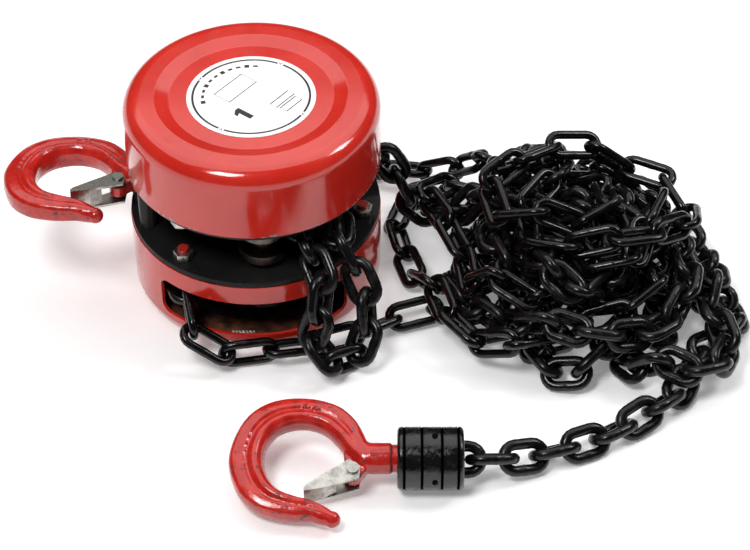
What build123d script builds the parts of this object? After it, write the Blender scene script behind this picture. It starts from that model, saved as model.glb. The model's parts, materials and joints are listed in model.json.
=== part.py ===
from build123d import *

import math
import os
import random

import numpy as np
from scipy.spatial import cKDTree

# A one tonne hand chain hoist lying on its hand wheel cover, its chains in a heap beside it.
# Origin: centre of the flat face the hoist lies on.  +Z runs up the drive shaft, the top
# hook points to -X and the load chain leaves towards +X.  Millimetres.

# ---------------------------------------------------------------- driving dimensions
BODY_RADIUS = 71.0          # both drums
SHEET = 2.0                 # drum sheet thickness
TOTAL_HEIGHT = 128.0        # across both drums
PLATE = 3.5                 # side plate thickness
GAP_LOW = 51.3              # upper face of the hand side plate
GAP_HIGH = 81.3             # lower face of the gear side plate
HAND_RIM = GAP_LOW - PLATE  # where the hand wheel cover ends
GEAR_RIM = GAP_HIGH + PLATE # where the gear cover starts
MID = (GAP_LOW + GAP_HIGH) / 2

FOOT_RADIUS = 45.5          # the flat face the hoist stands on
COVER_STEP = 3.6            # how far the hand wheel cover's rim stands off the floor
LABEL_RADIUS = 35.5
STUD_CIRCLE = 62.0
STUD_ANGLES = (-128.0, -11.0, 112.0)
STAY_PLACES = ((-59.5, -21.0), (-59.5, 21.0), (51.0, 0.0))

NUT_HEIGHT = 4.8
STUD_END = 2.2              # how far a stud stands out of its nut

LOAD_CHAIN = {"pitch": 18.0, "wire": 6.0, "inside": 8.0}
HAND_CHAIN = {"pitch": 25.0, "wire": 5.0, "inside": 7.4}
CHAIN_PLAY = 0.12           # gap left where two links touch

SHEAVE_LINKS = 5            # links of load chain on the half turn round the sheave
WHEEL_POCKETS = 7
WHEEL_TURN = 8.0            # where the hand wheel happens to stand

GEAR_MODULE = 1.3
PRESSURE_ANGLE = math.radians(25)
PINION_TEETH = 10
DISC_TEETH = 38
DISC_PINION_TEETH = 12
LOAD_GEAR_TEETH = 36
GEAR_CENTRES = GEAR_MODULE * (PINION_TEETH + DISC_TEETH) / 2

SHAFT_RADIUS = 6.0
SHEAVE_JOURNAL = 14.0
BALL_RADIUS = 2.2
BALLS = 18

TOP_HOOK_CENTRE = (-105.2, 1.0, MID)
BOTTOM_HOOK_CENTRE = (27.1, -168.5, 17.0)
BOTTOM_HOOK_TILT = 14.0
TOP_HOOK_TILT = -5.0
LATCH_PIVOT = (29.0, -9.5)

COUPLING_START = 79.3
COUPLING_END = 114.3
COUPLING_RADIUS = 16.8
COUPLING_BORE = 12.4
CHAIN_PIN_X = 106.0
SLOT_HALF = 4.3             # half the width of the slot for the last link
FREE_LINKS = 5              # links next to the coupling that are bodies of their own


# ---------------------------------------------------------------- small helpers
def disc(radius, low, high, x=0.0, y=0.0):
    """Upright cylinder between two heights."""
    return Pos(x, y, low) * Cylinder(radius, high - low, align=(Align.CENTER, Align.CENTER, Align.MIN))


def ring(outer, inner, low, high, x=0.0, y=0.0):
    """Upright tube between two heights."""
    return disc(outer, low, high, x, y) - disc(inner, low - 1, high + 1, x, y)


def bar(radius, start, end, y=0.0, z=0.0):
    """Cylinder along X."""
    shape = Cylinder(radius, end - start, align=(Align.CENTER, Align.CENTER, Align.MIN))
    return Pos(start, y, z) * Rot(0, 90, 0) * shape


def block(x0, x1, y0, y1, z0, z1):
    return Pos((x0 + x1) / 2, (y0 + y1) / 2, (z0 + z1) / 2) * Box(x1 - x0, y1 - y0, z1 - z0)


def hexagon(across, low, high, x=0.0, y=0.0, turn=0.0):
    """Upright hexagonal prism, measured across its flats."""
    outline = RegularPolygon(across / math.sqrt(3), 6)
    return Pos(x, y, low) * Rot(0, 0, turn) * extrude(outline, high - low)


def polar(radius, angle):
    a = math.radians(angle)
    return radius * math.cos(a), radius * math.sin(a)


def together(shapes):
    """One node made of several separate solids."""
    solids = []
    for shape in shapes:
        solids.extend(shape.solids())
    return Compound(solids)


# ---------------------------------------------------------------- drums and plates
def gear_cover():
    """Pressed drum with a rounded shoulder and a shallow stepped dish on top."""
    shoulder = 10.0
    lip, foot, depth = 53.0, 45.5, 2.6
    flat = BODY_RADIUS - shoulder
    with BuildPart() as drum:
        with BuildSketch(Plane.XZ):
            with BuildLine():
                Line((0, TOTAL_HEIGHT - depth), (foot, TOTAL_HEIGHT - depth))
                Line((foot, TOTAL_HEIGHT - depth), (lip, TOTAL_HEIGHT))
                Line((lip, TOTAL_HEIGHT), (flat, TOTAL_HEIGHT))
                CenterArc((flat, TOTAL_HEIGHT - shoulder), shoulder, 0, 90)
                Line((BODY_RADIUS, TOTAL_HEIGHT - shoulder), (BODY_RADIUS, GEAR_RIM))
                Line((BODY_RADIUS, GEAR_RIM), (BODY_RADIUS - SHEET, GEAR_RIM))
                Line((BODY_RADIUS - SHEET, GEAR_RIM), (BODY_RADIUS - SHEET, TOTAL_HEIGHT - shoulder))
                CenterArc((flat, TOTAL_HEIGHT - shoulder), shoulder - SHEET, 0, 90)
                Line((flat, TOTAL_HEIGHT - SHEET), (lip + 1, TOTAL_HEIGHT - SHEET))
                Line((lip + 1, TOTAL_HEIGHT - SHEET), (foot + 1, TOTAL_HEIGHT - SHEET - depth))
                Line((foot + 1, TOTAL_HEIGHT - SHEET - depth), (0, TOTAL_HEIGHT - SHEET - depth))
                Line((0, TOTAL_HEIGHT - SHEET - depth), (0, TOTAL_HEIGHT - depth))
            make_face()
        revolve(axis=Axis.Z)
    creases = [e for e in drum.part.edges().filter_by(GeomType.CIRCLE)
               if abs(e.radius - lip) < 0.01 or abs(e.radius - foot) < 0.01]
    shell = fillet(creases, 1.6)
    return shell + cover_lugs(GEAR_RIM, GEAR_RIM + 9)


def cover_lugs(low, high):
    """Three lugs inside a drum that hold its studs."""
    lugs = None
    for angle in STUD_ANGLES:
        x, y = polar(STUD_CIRCLE, angle)
        lug = disc(5.5, low, high, x, y) + Rot(0, 0, angle) * block(62, 70, -5, 5, low, high)
        lug = lug & disc(BODY_RADIUS - SHEET / 2, low, high)
        lug = lug - disc(3.05, low - 1, high + 1, x, y)
        lugs = lug if lugs is None else lugs + lug
    return lugs


def hand_wheel_cover():
    """Pressed drum with a chain window on each side and a pressed foot that it stands on."""
    shoulder = 5.0
    top = COVER_STEP + shoulder
    flat, foot, brim = BODY_RADIUS - shoulder, FOOT_RADIUS, FOOT_RADIUS + 7.5
    with BuildPart() as drum:
        with BuildSketch(Plane.XZ):
            with BuildLine():
                Line((0, 0), (foot, 0))
                Line((foot, 0), (brim, COVER_STEP))
                Line((brim, COVER_STEP), (flat, COVER_STEP))
                CenterArc((flat, top), shoulder, -90, 90)
                Line((BODY_RADIUS, top), (BODY_RADIUS, HAND_RIM))
                Line((BODY_RADIUS, HAND_RIM), (BODY_RADIUS - SHEET, HAND_RIM))
                Line((BODY_RADIUS - SHEET, HAND_RIM), (BODY_RADIUS - SHEET, top))
                CenterArc((flat, top), shoulder - SHEET, 0, -90)
                Line((flat, COVER_STEP + SHEET), (brim - 1, COVER_STEP + SHEET))
                Line((brim - 1, COVER_STEP + SHEET), (foot - 1, SHEET))
                Line((foot - 1, SHEET), (0, SHEET))
                Line((0, SHEET), (0, 0))
            make_face()
        revolve(axis=Axis.Z)
    creases = [e for e in drum.part.edges().filter_by(GeomType.CIRCLE) if abs(e.radius - brim) < 0.01]
    shell = fillet(creases, 1.6)
    for side in (-90, 90):
        shell = shell - chain_window(side)
    return shell + cover_lugs(HAND_RIM - 9, HAND_RIM)


def wedge(side, half, low, high):
    """Sector of a ring round the drum wall, centred on an azimuth."""
    corners = [(0, 0), polar(110, side - half), polar(160, side), polar(110, side + half)]
    sector = Pos(0, 0, low) * extrude(make_face(Polyline(*corners, close=True)), high - low)
    return sector & ring(BODY_RADIUS + 5, BODY_RADIUS - 12, low, high)


def chain_window(side):
    """Cutter for one chain window, with rounded corners."""
    low, high, half = 12.0, 36.0, 47.0
    corner = 6.0
    corner_angle = math.degrees(corner / BODY_RADIUS)
    cutter = wedge(side, half, low + corner, high - corner)
    cutter = cutter + wedge(side, half - corner_angle, low, high)
    for turn in (side - half + corner_angle, side + half - corner_angle):
        for z in (low + corner, high - corner):
            cutter = cutter + Rot(0, 0, turn) * bar(corner, BODY_RADIUS - 12, BODY_RADIUS + 5, 0, z)
    return cutter


def side_plate(radius, low, openings):
    plate = disc(radius, low, low + PLATE)
    plate = plate - disc(22.0, low - 1, low + PLATE + 1)
    for angle in STUD_ANGLES:
        plate = plate - disc(3.1, low - 1, low + PLATE + 1, *polar(STUD_CIRCLE, angle))
    for x, y, r in openings:
        plate = plate - disc(r, low - 1, low + PLATE + 1, x, y)
    return plate


def hand_side_plate():
    openings = [(x, y, 3.0) for x, y in STAY_PLACES]
    openings += [(x, y, 3.0) for x, y in ROLLER_PLACES]
    openings += [(TOP_PIN_X, 0, 4.0), (*ANCHOR_PLACE, 3.0)]
    openings += [(*polar(PAWL_CIRCLE, angle), 3.0) for angle in PAWL_ANGLES]
    return side_plate(BODY_RADIUS - 0.4, HAND_RIM, openings)


def gear_side_plate():
    openings = [(x, y, 3.0) for x, y in STAY_PLACES]
    openings += [(x, y, 3.0) for x, y in ROLLER_PLACES]
    openings += [(TOP_PIN_X, 0, 4.0), (*ANCHOR_PLACE, 3.0)]
    openings += [(0, side * GEAR_CENTRES, 6.0) for side in (-1, 1)]
    openings += [(x, y, 2.5) for x, y in PILLAR_PLACES]
    return side_plate(BODY_RADIUS - 2.2, GAP_HIGH, openings)


def rating_label():
    dish = 2.6
    low = TOTAL_HEIGHT - dish
    return disc(LABEL_RADIUS, low, low + 0.4)


def cover_studs(low, high):
    return together([disc(3.0, low, high, *polar(STUD_CIRCLE, a)) for a in STUD_ANGLES])


def nuts(places, low, high, bore, across=10.0):
    found = []
    for k, (x, y) in enumerate(places):
        nut = hexagon(across, low, high, x, y, 17 * k)
        nut = nut & disc(across / math.sqrt(3) * 0.97, low, high, x, y)
        found.append(nut - disc(bore, low - 1, high + 1, x, y))
    return together(found)


def stay_bolts():
    """Shouldered bolts that hold the side plates apart."""
    bolts = []
    for x, y in STAY_PLACES:
        bolts.append(disc(4.8, GAP_LOW, GAP_HIGH, x, y) + disc(3.0, HAND_RIM - 6.5, GEAR_RIM + 6.5, x, y))
    return together(bolts)


# ---------------------------------------------------------------- load sheave
PITCH_RADIUS = LOAD_CHAIN["pitch"] / 2 / math.sin(math.pi / (2 * SHEAVE_LINKS))
SHEAVE_FLANGE = 24.0
SHEAVE_SEAT = 11.4          # half of the width in which the flat links lie
SHEAVE_LAND = 22.3          # corners between the seats, just inside the flat links
SHEAVE_LOW, SHEAVE_HIGH = GAP_LOW + 1.5, GAP_HIGH - 1.5
RACE_REACH = 1.0            # how far a race stands out of its plate


def load_sheave():
    """Pocket wheel on two journals; the upper one carries the load gear."""
    body = disc(SHEAVE_FLANGE, SHEAVE_LOW, SHEAVE_HIGH)
    body = body - ring(SHEAVE_FLANGE + 1, 16.0, MID - 4.3, MID + 4.3)
    body = body - ring(SHEAVE_FLANGE + 1, SHEAVE_LAND, MID - SHEAVE_SEAT, MID + SHEAVE_SEAT)
    for k in range(SHEAVE_LINKS):
        turn = 360 / SHEAVE_LINKS * k
        seat = block(19.5, 30, -15.5, 15.5, MID - SHEAVE_SEAT, MID + SHEAVE_SEAT)
        body = body - Rot(0, 0, turn) * seat
    body = body + disc(SHEAVE_JOURNAL, HAND_RIM - RACE_REACH, GEAR_RIM + RACE_REACH)
    body = body + disc(LOAD_GEAR_BORE, GEAR_RIM, GEAR_HIGH + 1.3)
    return body - disc(SHAFT_RADIUS + 0.4, HAND_RIM - 5, GEAR_HIGH + 5)


def bearing_races():
    outer, inner = 22.0, SHEAVE_JOURNAL + 2 * BALL_RADIUS + 0.2
    lower = ring(outer, inner, HAND_RIM - RACE_REACH, GAP_LOW + RACE_REACH)
    upper = ring(outer, inner, GAP_HIGH - RACE_REACH, GEAR_RIM + RACE_REACH)
    return together([lower, upper])


def bearing_balls():
    path = SHEAVE_JOURNAL + BALL_RADIUS + 0.1
    balls = []
    for z in (HAND_RIM + PLATE / 2, GAP_HIGH + PLATE / 2):
        for k in range(BALLS):
            x, y = polar(path, 360 / BALLS * k)
            balls.append(Pos(x, y, z) * Sphere(BALL_RADIUS))
    return together(balls)


# ---------------------------------------------------------------- gear train
GEAR_LOW, GEAR_HIGH = GEAR_RIM + 1.5, GEAR_RIM + 9.5
DISC_LOW, DISC_HIGH = GEAR_RIM + 11.0, GEAR_RIM + 19.0
LOAD_GEAR_BORE = 10.0
GEAR_PLATE_LOW = GEAR_RIM + 21.2
GEAR_PLATE_HIGH = GEAR_PLATE_LOW + 3.0
PILLAR_PLACES = [polar(50.0, a) for a in (-20, 20, 160, 200)]
ADDENDUM = 0.8 * GEAR_MODULE
DEDENDUM = 1.05 * GEAR_MODULE
BACKLASH = 0.16             # taken off every tooth's thickness at the pitch circle


def flank_angle(radius, base, half_tooth):
    """Angle from the tooth's centre line to its involute flank at a radius."""
    pressure = math.acos(base / radius)
    at_pitch = math.tan(PRESSURE_ANGLE) - PRESSURE_ANGLE
    return half_tooth + at_pitch - (math.tan(pressure) - pressure)


def gear_face(teeth, first_tooth):
    """Outline of an involute spur gear; first_tooth is the azimuth of one tooth."""
    pitch = GEAR_MODULE * teeth / 2
    base = pitch * math.cos(PRESSURE_ANGLE)
    tip, root = pitch + ADDENDUM, pitch - DEDENDUM
    half_tooth = math.pi / (2 * teeth) - BACKLASH / 2 / pitch
    start = max(base, root + 0.02)
    radii = [start + (tip - start) * k / 3 for k in range(4)]
    outline = []
    for tooth in range(teeth):
        middle = math.radians(first_tooth) + 2 * math.pi * tooth / teeth
        foot = flank_angle(start, base, half_tooth)
        rising = [(root, middle - foot)] + [(r, middle - flank_angle(r, base, half_tooth)) for r in radii]
        falling = [(r, 2 * middle - a) for r, a in reversed(rising)]
        outline += [(r * math.cos(a), r * math.sin(a)) for r, a in rising + falling]
    return make_face(Polyline(*outline, close=True))


def gear(teeth, first_tooth, low, high):
    return Pos(0, 0, low) * extrude(gear_face(teeth, first_tooth), high - low)


def load_gear():
    body = gear(LOAD_GEAR_TEETH, 90, GEAR_LOW, GEAR_HIGH)
    return body - disc(LOAD_GEAR_BORE, GEAR_LOW - 1, GEAR_HIGH + 1)


def load_gear_ring():
    return ring(LOAD_GEAR_BORE + 2.2, LOAD_GEAR_BORE, GEAR_HIGH, GEAR_HIGH + 1.2)


def disc_gear(side):
    """One of the two intermediate gears: a wheel and its pinion on one shaft."""
    inward = -90 * side
    small = gear(DISC_PINION_TEETH, inward + 180 / DISC_PINION_TEETH, GEAR_LOW - 0.4, DISC_LOW)
    large = gear(DISC_TEETH, inward + 180 / DISC_TEETH, DISC_LOW, DISC_HIGH)
    for k in range(6):
        large = large - disc(4.2, DISC_LOW - 1, DISC_HIGH + 1, *polar(16.0, 60 * k + 30))
    journals = disc(4.0, GAP_HIGH + 0.3, GEAR_PLATE_HIGH - 0.3)
    return Pos(0, side * GEAR_CENTRES, 0) * (small + large + journals)


def gear_plate():
    plate = disc(60.0, GEAR_PLATE_LOW, GEAR_PLATE_HIGH) - disc(6.0, GEAR_PLATE_LOW - 1, GEAR_PLATE_HIGH + 1)
    for side in (-1, 1):
        plate = plate - disc(6.0, GEAR_PLATE_LOW - 1, GEAR_PLATE_HIGH + 1, 0, side * GEAR_CENTRES)
    for x, y in PILLAR_PLACES:
        plate = plate - disc(2.5, GEAR_PLATE_LOW - 1, GEAR_PLATE_HIGH + 1, x, y)
    return plate


def gear_pillars():
    pillars = []
    for x, y in PILLAR_PLACES:
        pillar = hexagon(9.0, GEAR_RIM, GEAR_PLATE_LOW, x, y)
        pillars.append(pillar + disc(2.5, GAP_HIGH + 0.5, GEAR_PLATE_HIGH + 3.5, x, y))
    return together(pillars)


def shaft_bushes():
    bushes = []
    for side in (-1, 1):
        y = side * GEAR_CENTRES
        bushes.append(ring(6.0, 4.15, GAP_HIGH, GEAR_RIM, 0, y))
        bushes.append(ring(6.0, 4.15, GEAR_PLATE_LOW, GEAR_PLATE_HIGH, 0, y))
    bushes.append(ring(6.0, 4.15, GEAR_PLATE_LOW, GEAR_PLATE_HIGH))
    return together(bushes)


def drive_shaft():
    """Shaft through the hollow sheave: hand wheel end below, pinion on top."""
    shaft = disc(SHAFT_RADIUS, HUB_LOW, DISC_LOW - 0.1)
    shaft = shaft + gear(PINION_TEETH, 90, DISC_LOW - 0.1, DISC_HIGH)
    shaft = shaft + disc(4.0, DISC_HIGH - 0.5, GEAR_PLATE_HIGH + 1.0)
    shaft = shaft + disc(5.0, 3.6, HUB_LOW)
    return shaft - bar(1.1, -7, 7, 0, SPLIT_PIN_Z)


# ---------------------------------------------------------------- load brake and hand wheel
HUB_LOW, HUB_HIGH = 31.9, 45.6
INNER_DISC = (38.2, 40.6)
RATCHET = (34.2, 38.0)
OUTER_DISC = (31.9, 34.0)
LINING_RADIUS = 26.0
RATCHET_TEETH = 16
RATCHET_TIP, RATCHET_ROOT = 34.0, 30.5
PAWL_CIRCLE = 48.0
PAWL_ANGLES = (20.0, 200.0)
WHEEL_FLANGE = 51.6
WHEEL_MID = 24.0
WHEEL_LOW, WHEEL_HIGH = 15.0, 31.9
SPLIT_PIN_Z = 7.2


def brake_hub():
    hub = disc(LINING_RADIUS, INNER_DISC[1], HUB_HIGH) + disc(9.0, HUB_LOW, HUB_HIGH)
    return hub - disc(SHAFT_RADIUS, HUB_LOW - 1, HUB_HIGH + 1)


def friction_discs():
    return together([ring(LINING_RADIUS, 9.0, *INNER_DISC), ring(LINING_RADIUS, 9.0, *OUTER_DISC)])


def ratchet_disc():
    outline = []
    for k in range(RATCHET_TEETH):
        angle = 360 / RATCHET_TEETH * k
        outline.append(polar(RATCHET_ROOT, angle))
        outline.append(polar(RATCHET_TIP, angle))
    face = make_face(Polyline(*outline, close=True))
    wheel = Pos(0, 0, RATCHET[0]) * extrude(face, RATCHET[1] - RATCHET[0])
    return wheel - disc(9.2, RATCHET[0] - 1, RATCHET[1] + 1)


def pawl(angle):
    """Pawl hanging on its pin, its nose just behind a ratchet tooth's steep face."""
    pivot = polar(PAWL_CIRCLE, angle)
    nose = [polar(RATCHET_TIP + 2.2, angle - 24), polar(RATCHET_TIP - 1.6, angle - 25.6),
            polar(RATCHET_TIP + 5.0, angle - 30)]
    blade = extrude(make_face(Polyline(pivot, *nose, polar(PAWL_CIRCLE + 5.0, angle - 4), close=True)),
                    RATCHET[1] - RATCHET[0])
    body = Pos(0, 0, RATCHET[0]) * blade + disc(6.0, *RATCHET, *pivot)
    return body - disc(3.1, RATCHET[0] - 1, RATCHET[1] + 1, *pivot)


def pawl_pins():
    pins = []
    for angle in PAWL_ANGLES:
        x, y = polar(PAWL_CIRCLE, angle)
        pins.append(disc(3.0, RATCHET[0] - 1.6, GAP_LOW, x, y) + disc(4.6, RATCHET[1] + 5.2, HAND_RIM, x, y)
                    + disc(4.6, RATCHET[0] - 1.6, RATCHET[0] - 0.3, x, y))
    return together(pins)


def pawl_springs():
    springs = []
    for angle in PAWL_ANGLES:
        x, y = polar(PAWL_CIRCLE, angle)
        springs.append(coil(3.9, 0.55, RATCHET[1] + 0.8, RATCHET[1] + 4.6, x, y))
    return together(springs)


def coil(radius, wire, low, high, x, y):
    """Close coil of spring wire, drawn as its separate turns joined by a short bar."""
    turns = int((high - low) / (2 * wire + 0.3))
    step = (high - low - 2 * wire) / max(turns - 1, 1)
    spring = None
    for k in range(turns):
        hoop = Pos(x, y, low + wire + k * step) * Torus(radius, wire)
        spring = hoop if spring is None else spring + hoop
    return spring + disc(0.8 * wire, low + wire, high - wire, x + radius, y)


def hand_wheel():
    """Pocket wheel for the hand chain, clamped against the brake by its thread."""
    wheel = disc(WHEEL_FLANGE, WHEEL_LOW, WHEEL_HIGH)
    wheel = wheel - ring(WHEEL_FLANGE + 1, 44.5, WHEEL_MID - 3.4, WHEEL_MID + 3.4)
    wheel = wheel - ring(40.0, 19.0, WHEEL_LOW - 1, WHEEL_MID - 3)
    wheel = wheel - ring(40.0, 27.5, WHEEL_MID + 3, WHEEL_HIGH + 1)
    for k in range(WHEEL_POCKETS):
        turn = WHEEL_TURN + 360 / WHEEL_POCKETS * (k - 0.25)
        wheel = wheel - Rot(0, 0, turn) * block(47.6, 60, -17, 17, WHEEL_LOW - 1, WHEEL_HIGH + 1)
    wheel = wheel + disc(12.0, 9.6, WHEEL_LOW)
    return wheel - disc(5.0, 9, WHEEL_HIGH + 1)


def castle_nut():
    nut = hexagon(16.0, 4.4, 9.6) - disc(5.0, 4, 10)
    for k in range(3):
        nut = nut - Rot(0, 0, 60 * k) * block(-12, 12, -1.3, 1.3, 4.3, 5.9 + 2.6)
    return nut


def split_pin():
    return bar(1.0, -9.5, 9.5, 0, SPLIT_PIN_Z) + Pos(10.6, 0, SPLIT_PIN_Z) * Torus(1.7, 0.8)


# ---------------------------------------------------------------- between the plates
ROLLER_PLACES = ((6.0, -46.6), (6.0, 46.6))
ANCHOR_PLACE = (47.0, -36.0)
TOP_PIN_X = -57.0


def guide_roller(x, y):
    """Flanged roller; the upright links run in its groove."""
    low, high = MID - 11.5, MID + 9.5
    roller = disc(13.4, low, high, x, y)
    roller = roller - ring(14, 6.2, MID - 6.0, MID + 4.2, x, y)
    return roller - disc(3.15, low - 1, high + 1, x, y)


def roller_pins():
    return together([disc(3.0, HAND_RIM + 0.2, GEAR_RIM - 0.2, x, y) for x, y in ROLLER_PLACES])


def chain_stripper():
    """Block that lifts the chain out of the sheave's pockets."""
    nose = [(27.0, -3.0), (27.0, 3.0), (40.0, 11.0), (44.0, 11.0), (44.0, -11.0), (40.0, -11.0)]
    return Pos(0, 0, GAP_LOW) * extrude(make_face(Polyline(*nose, close=True)), GAP_HIGH - GAP_LOW)


def anchor_pin():
    return disc(3.0, HAND_RIM + 0.2, GEAR_RIM - 0.2, *ANCHOR_PLACE)


def top_hook_yoke():
    yoke = block(-65, -49, -11, 11, MID - 13.2, MID + 13.2)
    yoke = fillet(yoke.edges().filter_by(Axis.Z), 2.0)
    yoke = yoke - bar(8.0, -70, -40, TOP_HOOK_CENTRE[1], MID)
    for low, high in ((MID - 14, MID - 8.6), (MID + 8.6, MID + 14)):
        yoke = yoke - disc(4.1, low, high, TOP_PIN_X, 0)
    return yoke


def top_hook_pins():
    lower = disc(4.0, HAND_RIM, MID - 9.2, TOP_PIN_X, 0)
    upper = disc(4.0, MID + 9.2, GEAR_RIM, TOP_PIN_X, 0)
    return together([lower, upper])


# ---------------------------------------------------------------- hooks
# Stations round the hook, from its neck to its tip: inner point, outer point, thickness.
# The shank is the +X axis and the centre of the bowl is the origin.
HOOK_STATIONS = [
    ((38.5, -8.4), (38.5, 8.4), 16.8), ((33.0, -7.2), (36.5, 9.6), 16.6),
    ((25.5, 0.6), (34.6, 14.2), 15.6), ((20.0, 8.6), (29.6, 22.6), 15.4),
    ((12.5, 15.6), (20.0, 30.6), 15.4), ((2.0, 18.6), (3.5, 34.6), 15.8),
    ((-9.0, 15.6), (-15.0, 32.0), 16.4), ((-15.6, 7.6), (-29.0, 20.6), 16.8),
    ((-17.4, -2.0), (-36.4, -1.0), 17.0), ((-15.4, -12.0), (-31.5, -20.5), 16.8),
    ((-10.0, -19.6), (-20.5, -31.4), 16.0), ((-1.5, -23.4), (-5.0, -35.8), 14.6),
    ((7.0, -25.6), (6.4, -36.4), 13.0), ((14.0, -28.6), (11.4, -38.2), 11.2),
    ((19.4, -32.4), (16.2, -39.4), 9.4),
]


def hook_section(inner, outer, thickness, along):
    """Oval section between two points of the hook's plane."""
    ix, iy = inner
    ox, oy = outer
    middle = Vector((ix + ox) / 2, (iy + oy) / 2, 0)
    across = Vector(ox - ix, oy - iy, 0)
    plane = Plane(origin=middle, x_dir=across, z_dir=along)
    return plane * Ellipse(across.length / 2, thickness / 2)


def hook_body():
    """Forged hook with a lug for its latch."""
    sections = []
    for inner, outer, thickness in HOOK_STATIONS:
        across = Vector(outer[0] - inner[0], outer[1] - inner[1], 0)
        along = Vector(-across.Y, across.X, 0)
        sections.append(hook_section(inner, outer, thickness, along))
    body = loft(sections)
    tip = Pos(18.6, -36.2, 0) * Sphere(4.4)
    lug = Pos(0, 0, -3.6) * extrude(
        make_face(Polyline((36, -2), (24, 2), (26, -13), (30, -15), (36, -9), close=True)), 7.2)
    x, y = LATCH_PIVOT
    boss = disc(5.2, -3.6, 3.6, x, y)
    return body + tip + lug + boss - disc(2.0, -9, 9, x, y)


def hook_latch():
    """Sheet metal channel that closes the hook's mouth."""
    x, y = LATCH_PIVOT
    ear = [(x + 3.4, y - 5.6), (x + 3.9, y + 1.5), (x - 2.0, y + 5.6), (x - 8.0, y + 1.6),
           (5.0, -18.6), (3.4, -20.6), (3.6, -22.6), (14.0, -20.8)]
    channel = None
    for low in (-6.8, 5.4):
        plate = Pos(0, 0, low) * extrude(make_face(Polyline(*ear, close=True)), 1.4)
        channel = plate if channel is None else channel + plate
    web = [(3.4, -21.2), (3.6, -22.6), (14.0, -20.8), (x - 8.6, y - 8.2), (x - 9.0, y - 6.8), (14.0, -19.4)]
    channel = channel + Pos(0, 0, -6.8) * extrude(make_face(Polyline(*web, close=True)), 13.6)
    return channel - disc(2.12, -9, 9, x, y)


def latch_rivet():
    x, y = LATCH_PIVOT
    return disc(2.0, -7.2, 7.2, x, y) + disc(3.2, 7.0, 8.2, x, y) + disc(3.2, -8.2, -7.0, x, y)


def latch_spring():
    x, y = LATCH_PIVOT
    hoop = Pos(x, y, 4.5) * Torus(3.0, 0.55)
    return hoop + Pos(x, y, -4.5) * Torus(3.0, 0.55) + Pos(x + 3.0, y, -4.5) * Cylinder(
        0.55, 9.0, align=(Align.CENTER, Align.CENTER, Align.MIN)) - hook_body()


def top_hook():
    return hook_body() + bar(8.4, 38.0, 40.1) + bar(7.6, 39.5, 61.2) + bar(6.0, 60.7, 62.6)


def bottom_hook():
    return hook_body() + bar(8.4, 38.0, 49.0) + bar(7.4, 48.5, 58.9) + bar(5.0, 58.5, 66.3)


def top_frame(shape):
    return Pos(*TOP_HOOK_CENTRE) * Rot(TOP_HOOK_TILT, 0, 0) * shape


def bottom_frame(shape):
    return Pos(*BOTTOM_HOOK_CENTRE) * Rot(BOTTOM_HOOK_TILT, 0, 0) * shape


def hook_nut(across, start, end, bore):
    """Slotted nut on a hook shank, its axis along X."""
    nut = hexagon(across, start, end) - disc(bore, start - 1, end + 1)
    for k in range(3):
        nut = nut - Rot(0, 0, 60 * k + 30) * block(-20, 20, -1.4, 1.4, end - 2.0, end + 1)
    return Rot(0, 90, 0) * nut


# ---------------------------------------------------------------- coupling at the chain's end
def coupling_frame(shape):
    """Moves a shape drawn on the X axis onto the bottom hook's shank, rolled with its chain."""
    return Pos(0, BOTTOM_HOOK_CENTRE[1], BOTTOM_HOOK_CENTRE[2]) * Rot(45, 0, 0) * shape


def coupling_shell():
    """Round coupling with a nut chamber, a link slot and four turned bands."""
    shell = bar(COUPLING_RADIUS, COUPLING_START, COUPLING_END)
    shell = fillet(shell.edges().filter_by(GeomType.CIRCLE), 2.2)
    for x in (COUPLING_START + 3.6, COUPLING_START + 12.9, COUPLING_START + 23.4, COUPLING_END - 3.0):
        groove = bar(COUPLING_RADIUS + 1, x - 0.35, x + 0.35) - bar(COUPLING_RADIUS - 0.6, x - 1, x + 1)
        shell = shell - groove
    shell = shell - bar(7.7, COUPLING_START - 1, 85) - bar(COUPLING_BORE, 84.0, 93.8)
    shell = shell - block(95.2, COUPLING_END + 1, -13.6, 13.6, -SLOT_HALF, SLOT_HALF)
    return shell - chain_pin_bar() - coupling_screw_bars(30.0)


def chain_pin_bar():
    return disc(3.0, -13.0, 13.0, CHAIN_PIN_X, 0)


def coupling_screw_bars(length):
    """The two screws that clamp the halves, or with more length the holes for them."""
    return together([Pos(99.0, 0, z) * Rot(90, 0, 0) * Cylinder(1.6, length) for z in (-11.5, 11.5)])


def coupling_half(side):
    low, high = (0, 30) if side > 0 else (-30, 0)
    return coupling_shell() & block(COUPLING_START - 5, COUPLING_END + 5, low, high, -30, 30)


def thrust_washer():
    return bar(11.6, 84.2, 86.0) - bar(7.6, 84, 87)


# ---------------------------------------------------------------- chain links
def link_solid(size):
    """One welded link: its length along X, its width along Y."""
    wire = size["wire"] / 2
    bend = (size["inside"] + size["wire"]) / 2
    half = (size["pitch"] + size["wire"]) / 2 - bend
    link = None
    for side in (-1, 1):
        leg = Pos(-half, side * bend, 0) * Rot(0, 90, 0) * Cylinder(
            wire, 2 * half, align=(Align.CENTER, Align.CENTER, Align.MIN))
        section = Plane(origin=(side * half, bend, 0), x_dir=(0, 1, 0), z_dir=(1, 0, 0)) * Circle(wire)
        crown = revolve(section, Axis((side * half, 0, 0), (0, 0, 1)), -180 * side)
        link = leg + crown if link is None else link + leg + crown
    return link


def place_link(link, centre, along, across):
    upright = cross(along[None], across[None])[0]
    plane = Plane(origin=tuple(centre), x_dir=tuple(along), z_dir=tuple(upright))
    return plane.location * link


# ---------------------------------------------------------------- laying the chains
# A chain is a row of contact points one pitch apart.  Every link has a direction (between its
# two points) and an across direction, at right angles, that its wire loop lies in.
HEAP_CENTRE = (180.0, -14.0)
HEAP_REACH = (98.0, 108.0)
LOAD_SEED, HAND_SEED = 11, 23
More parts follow.
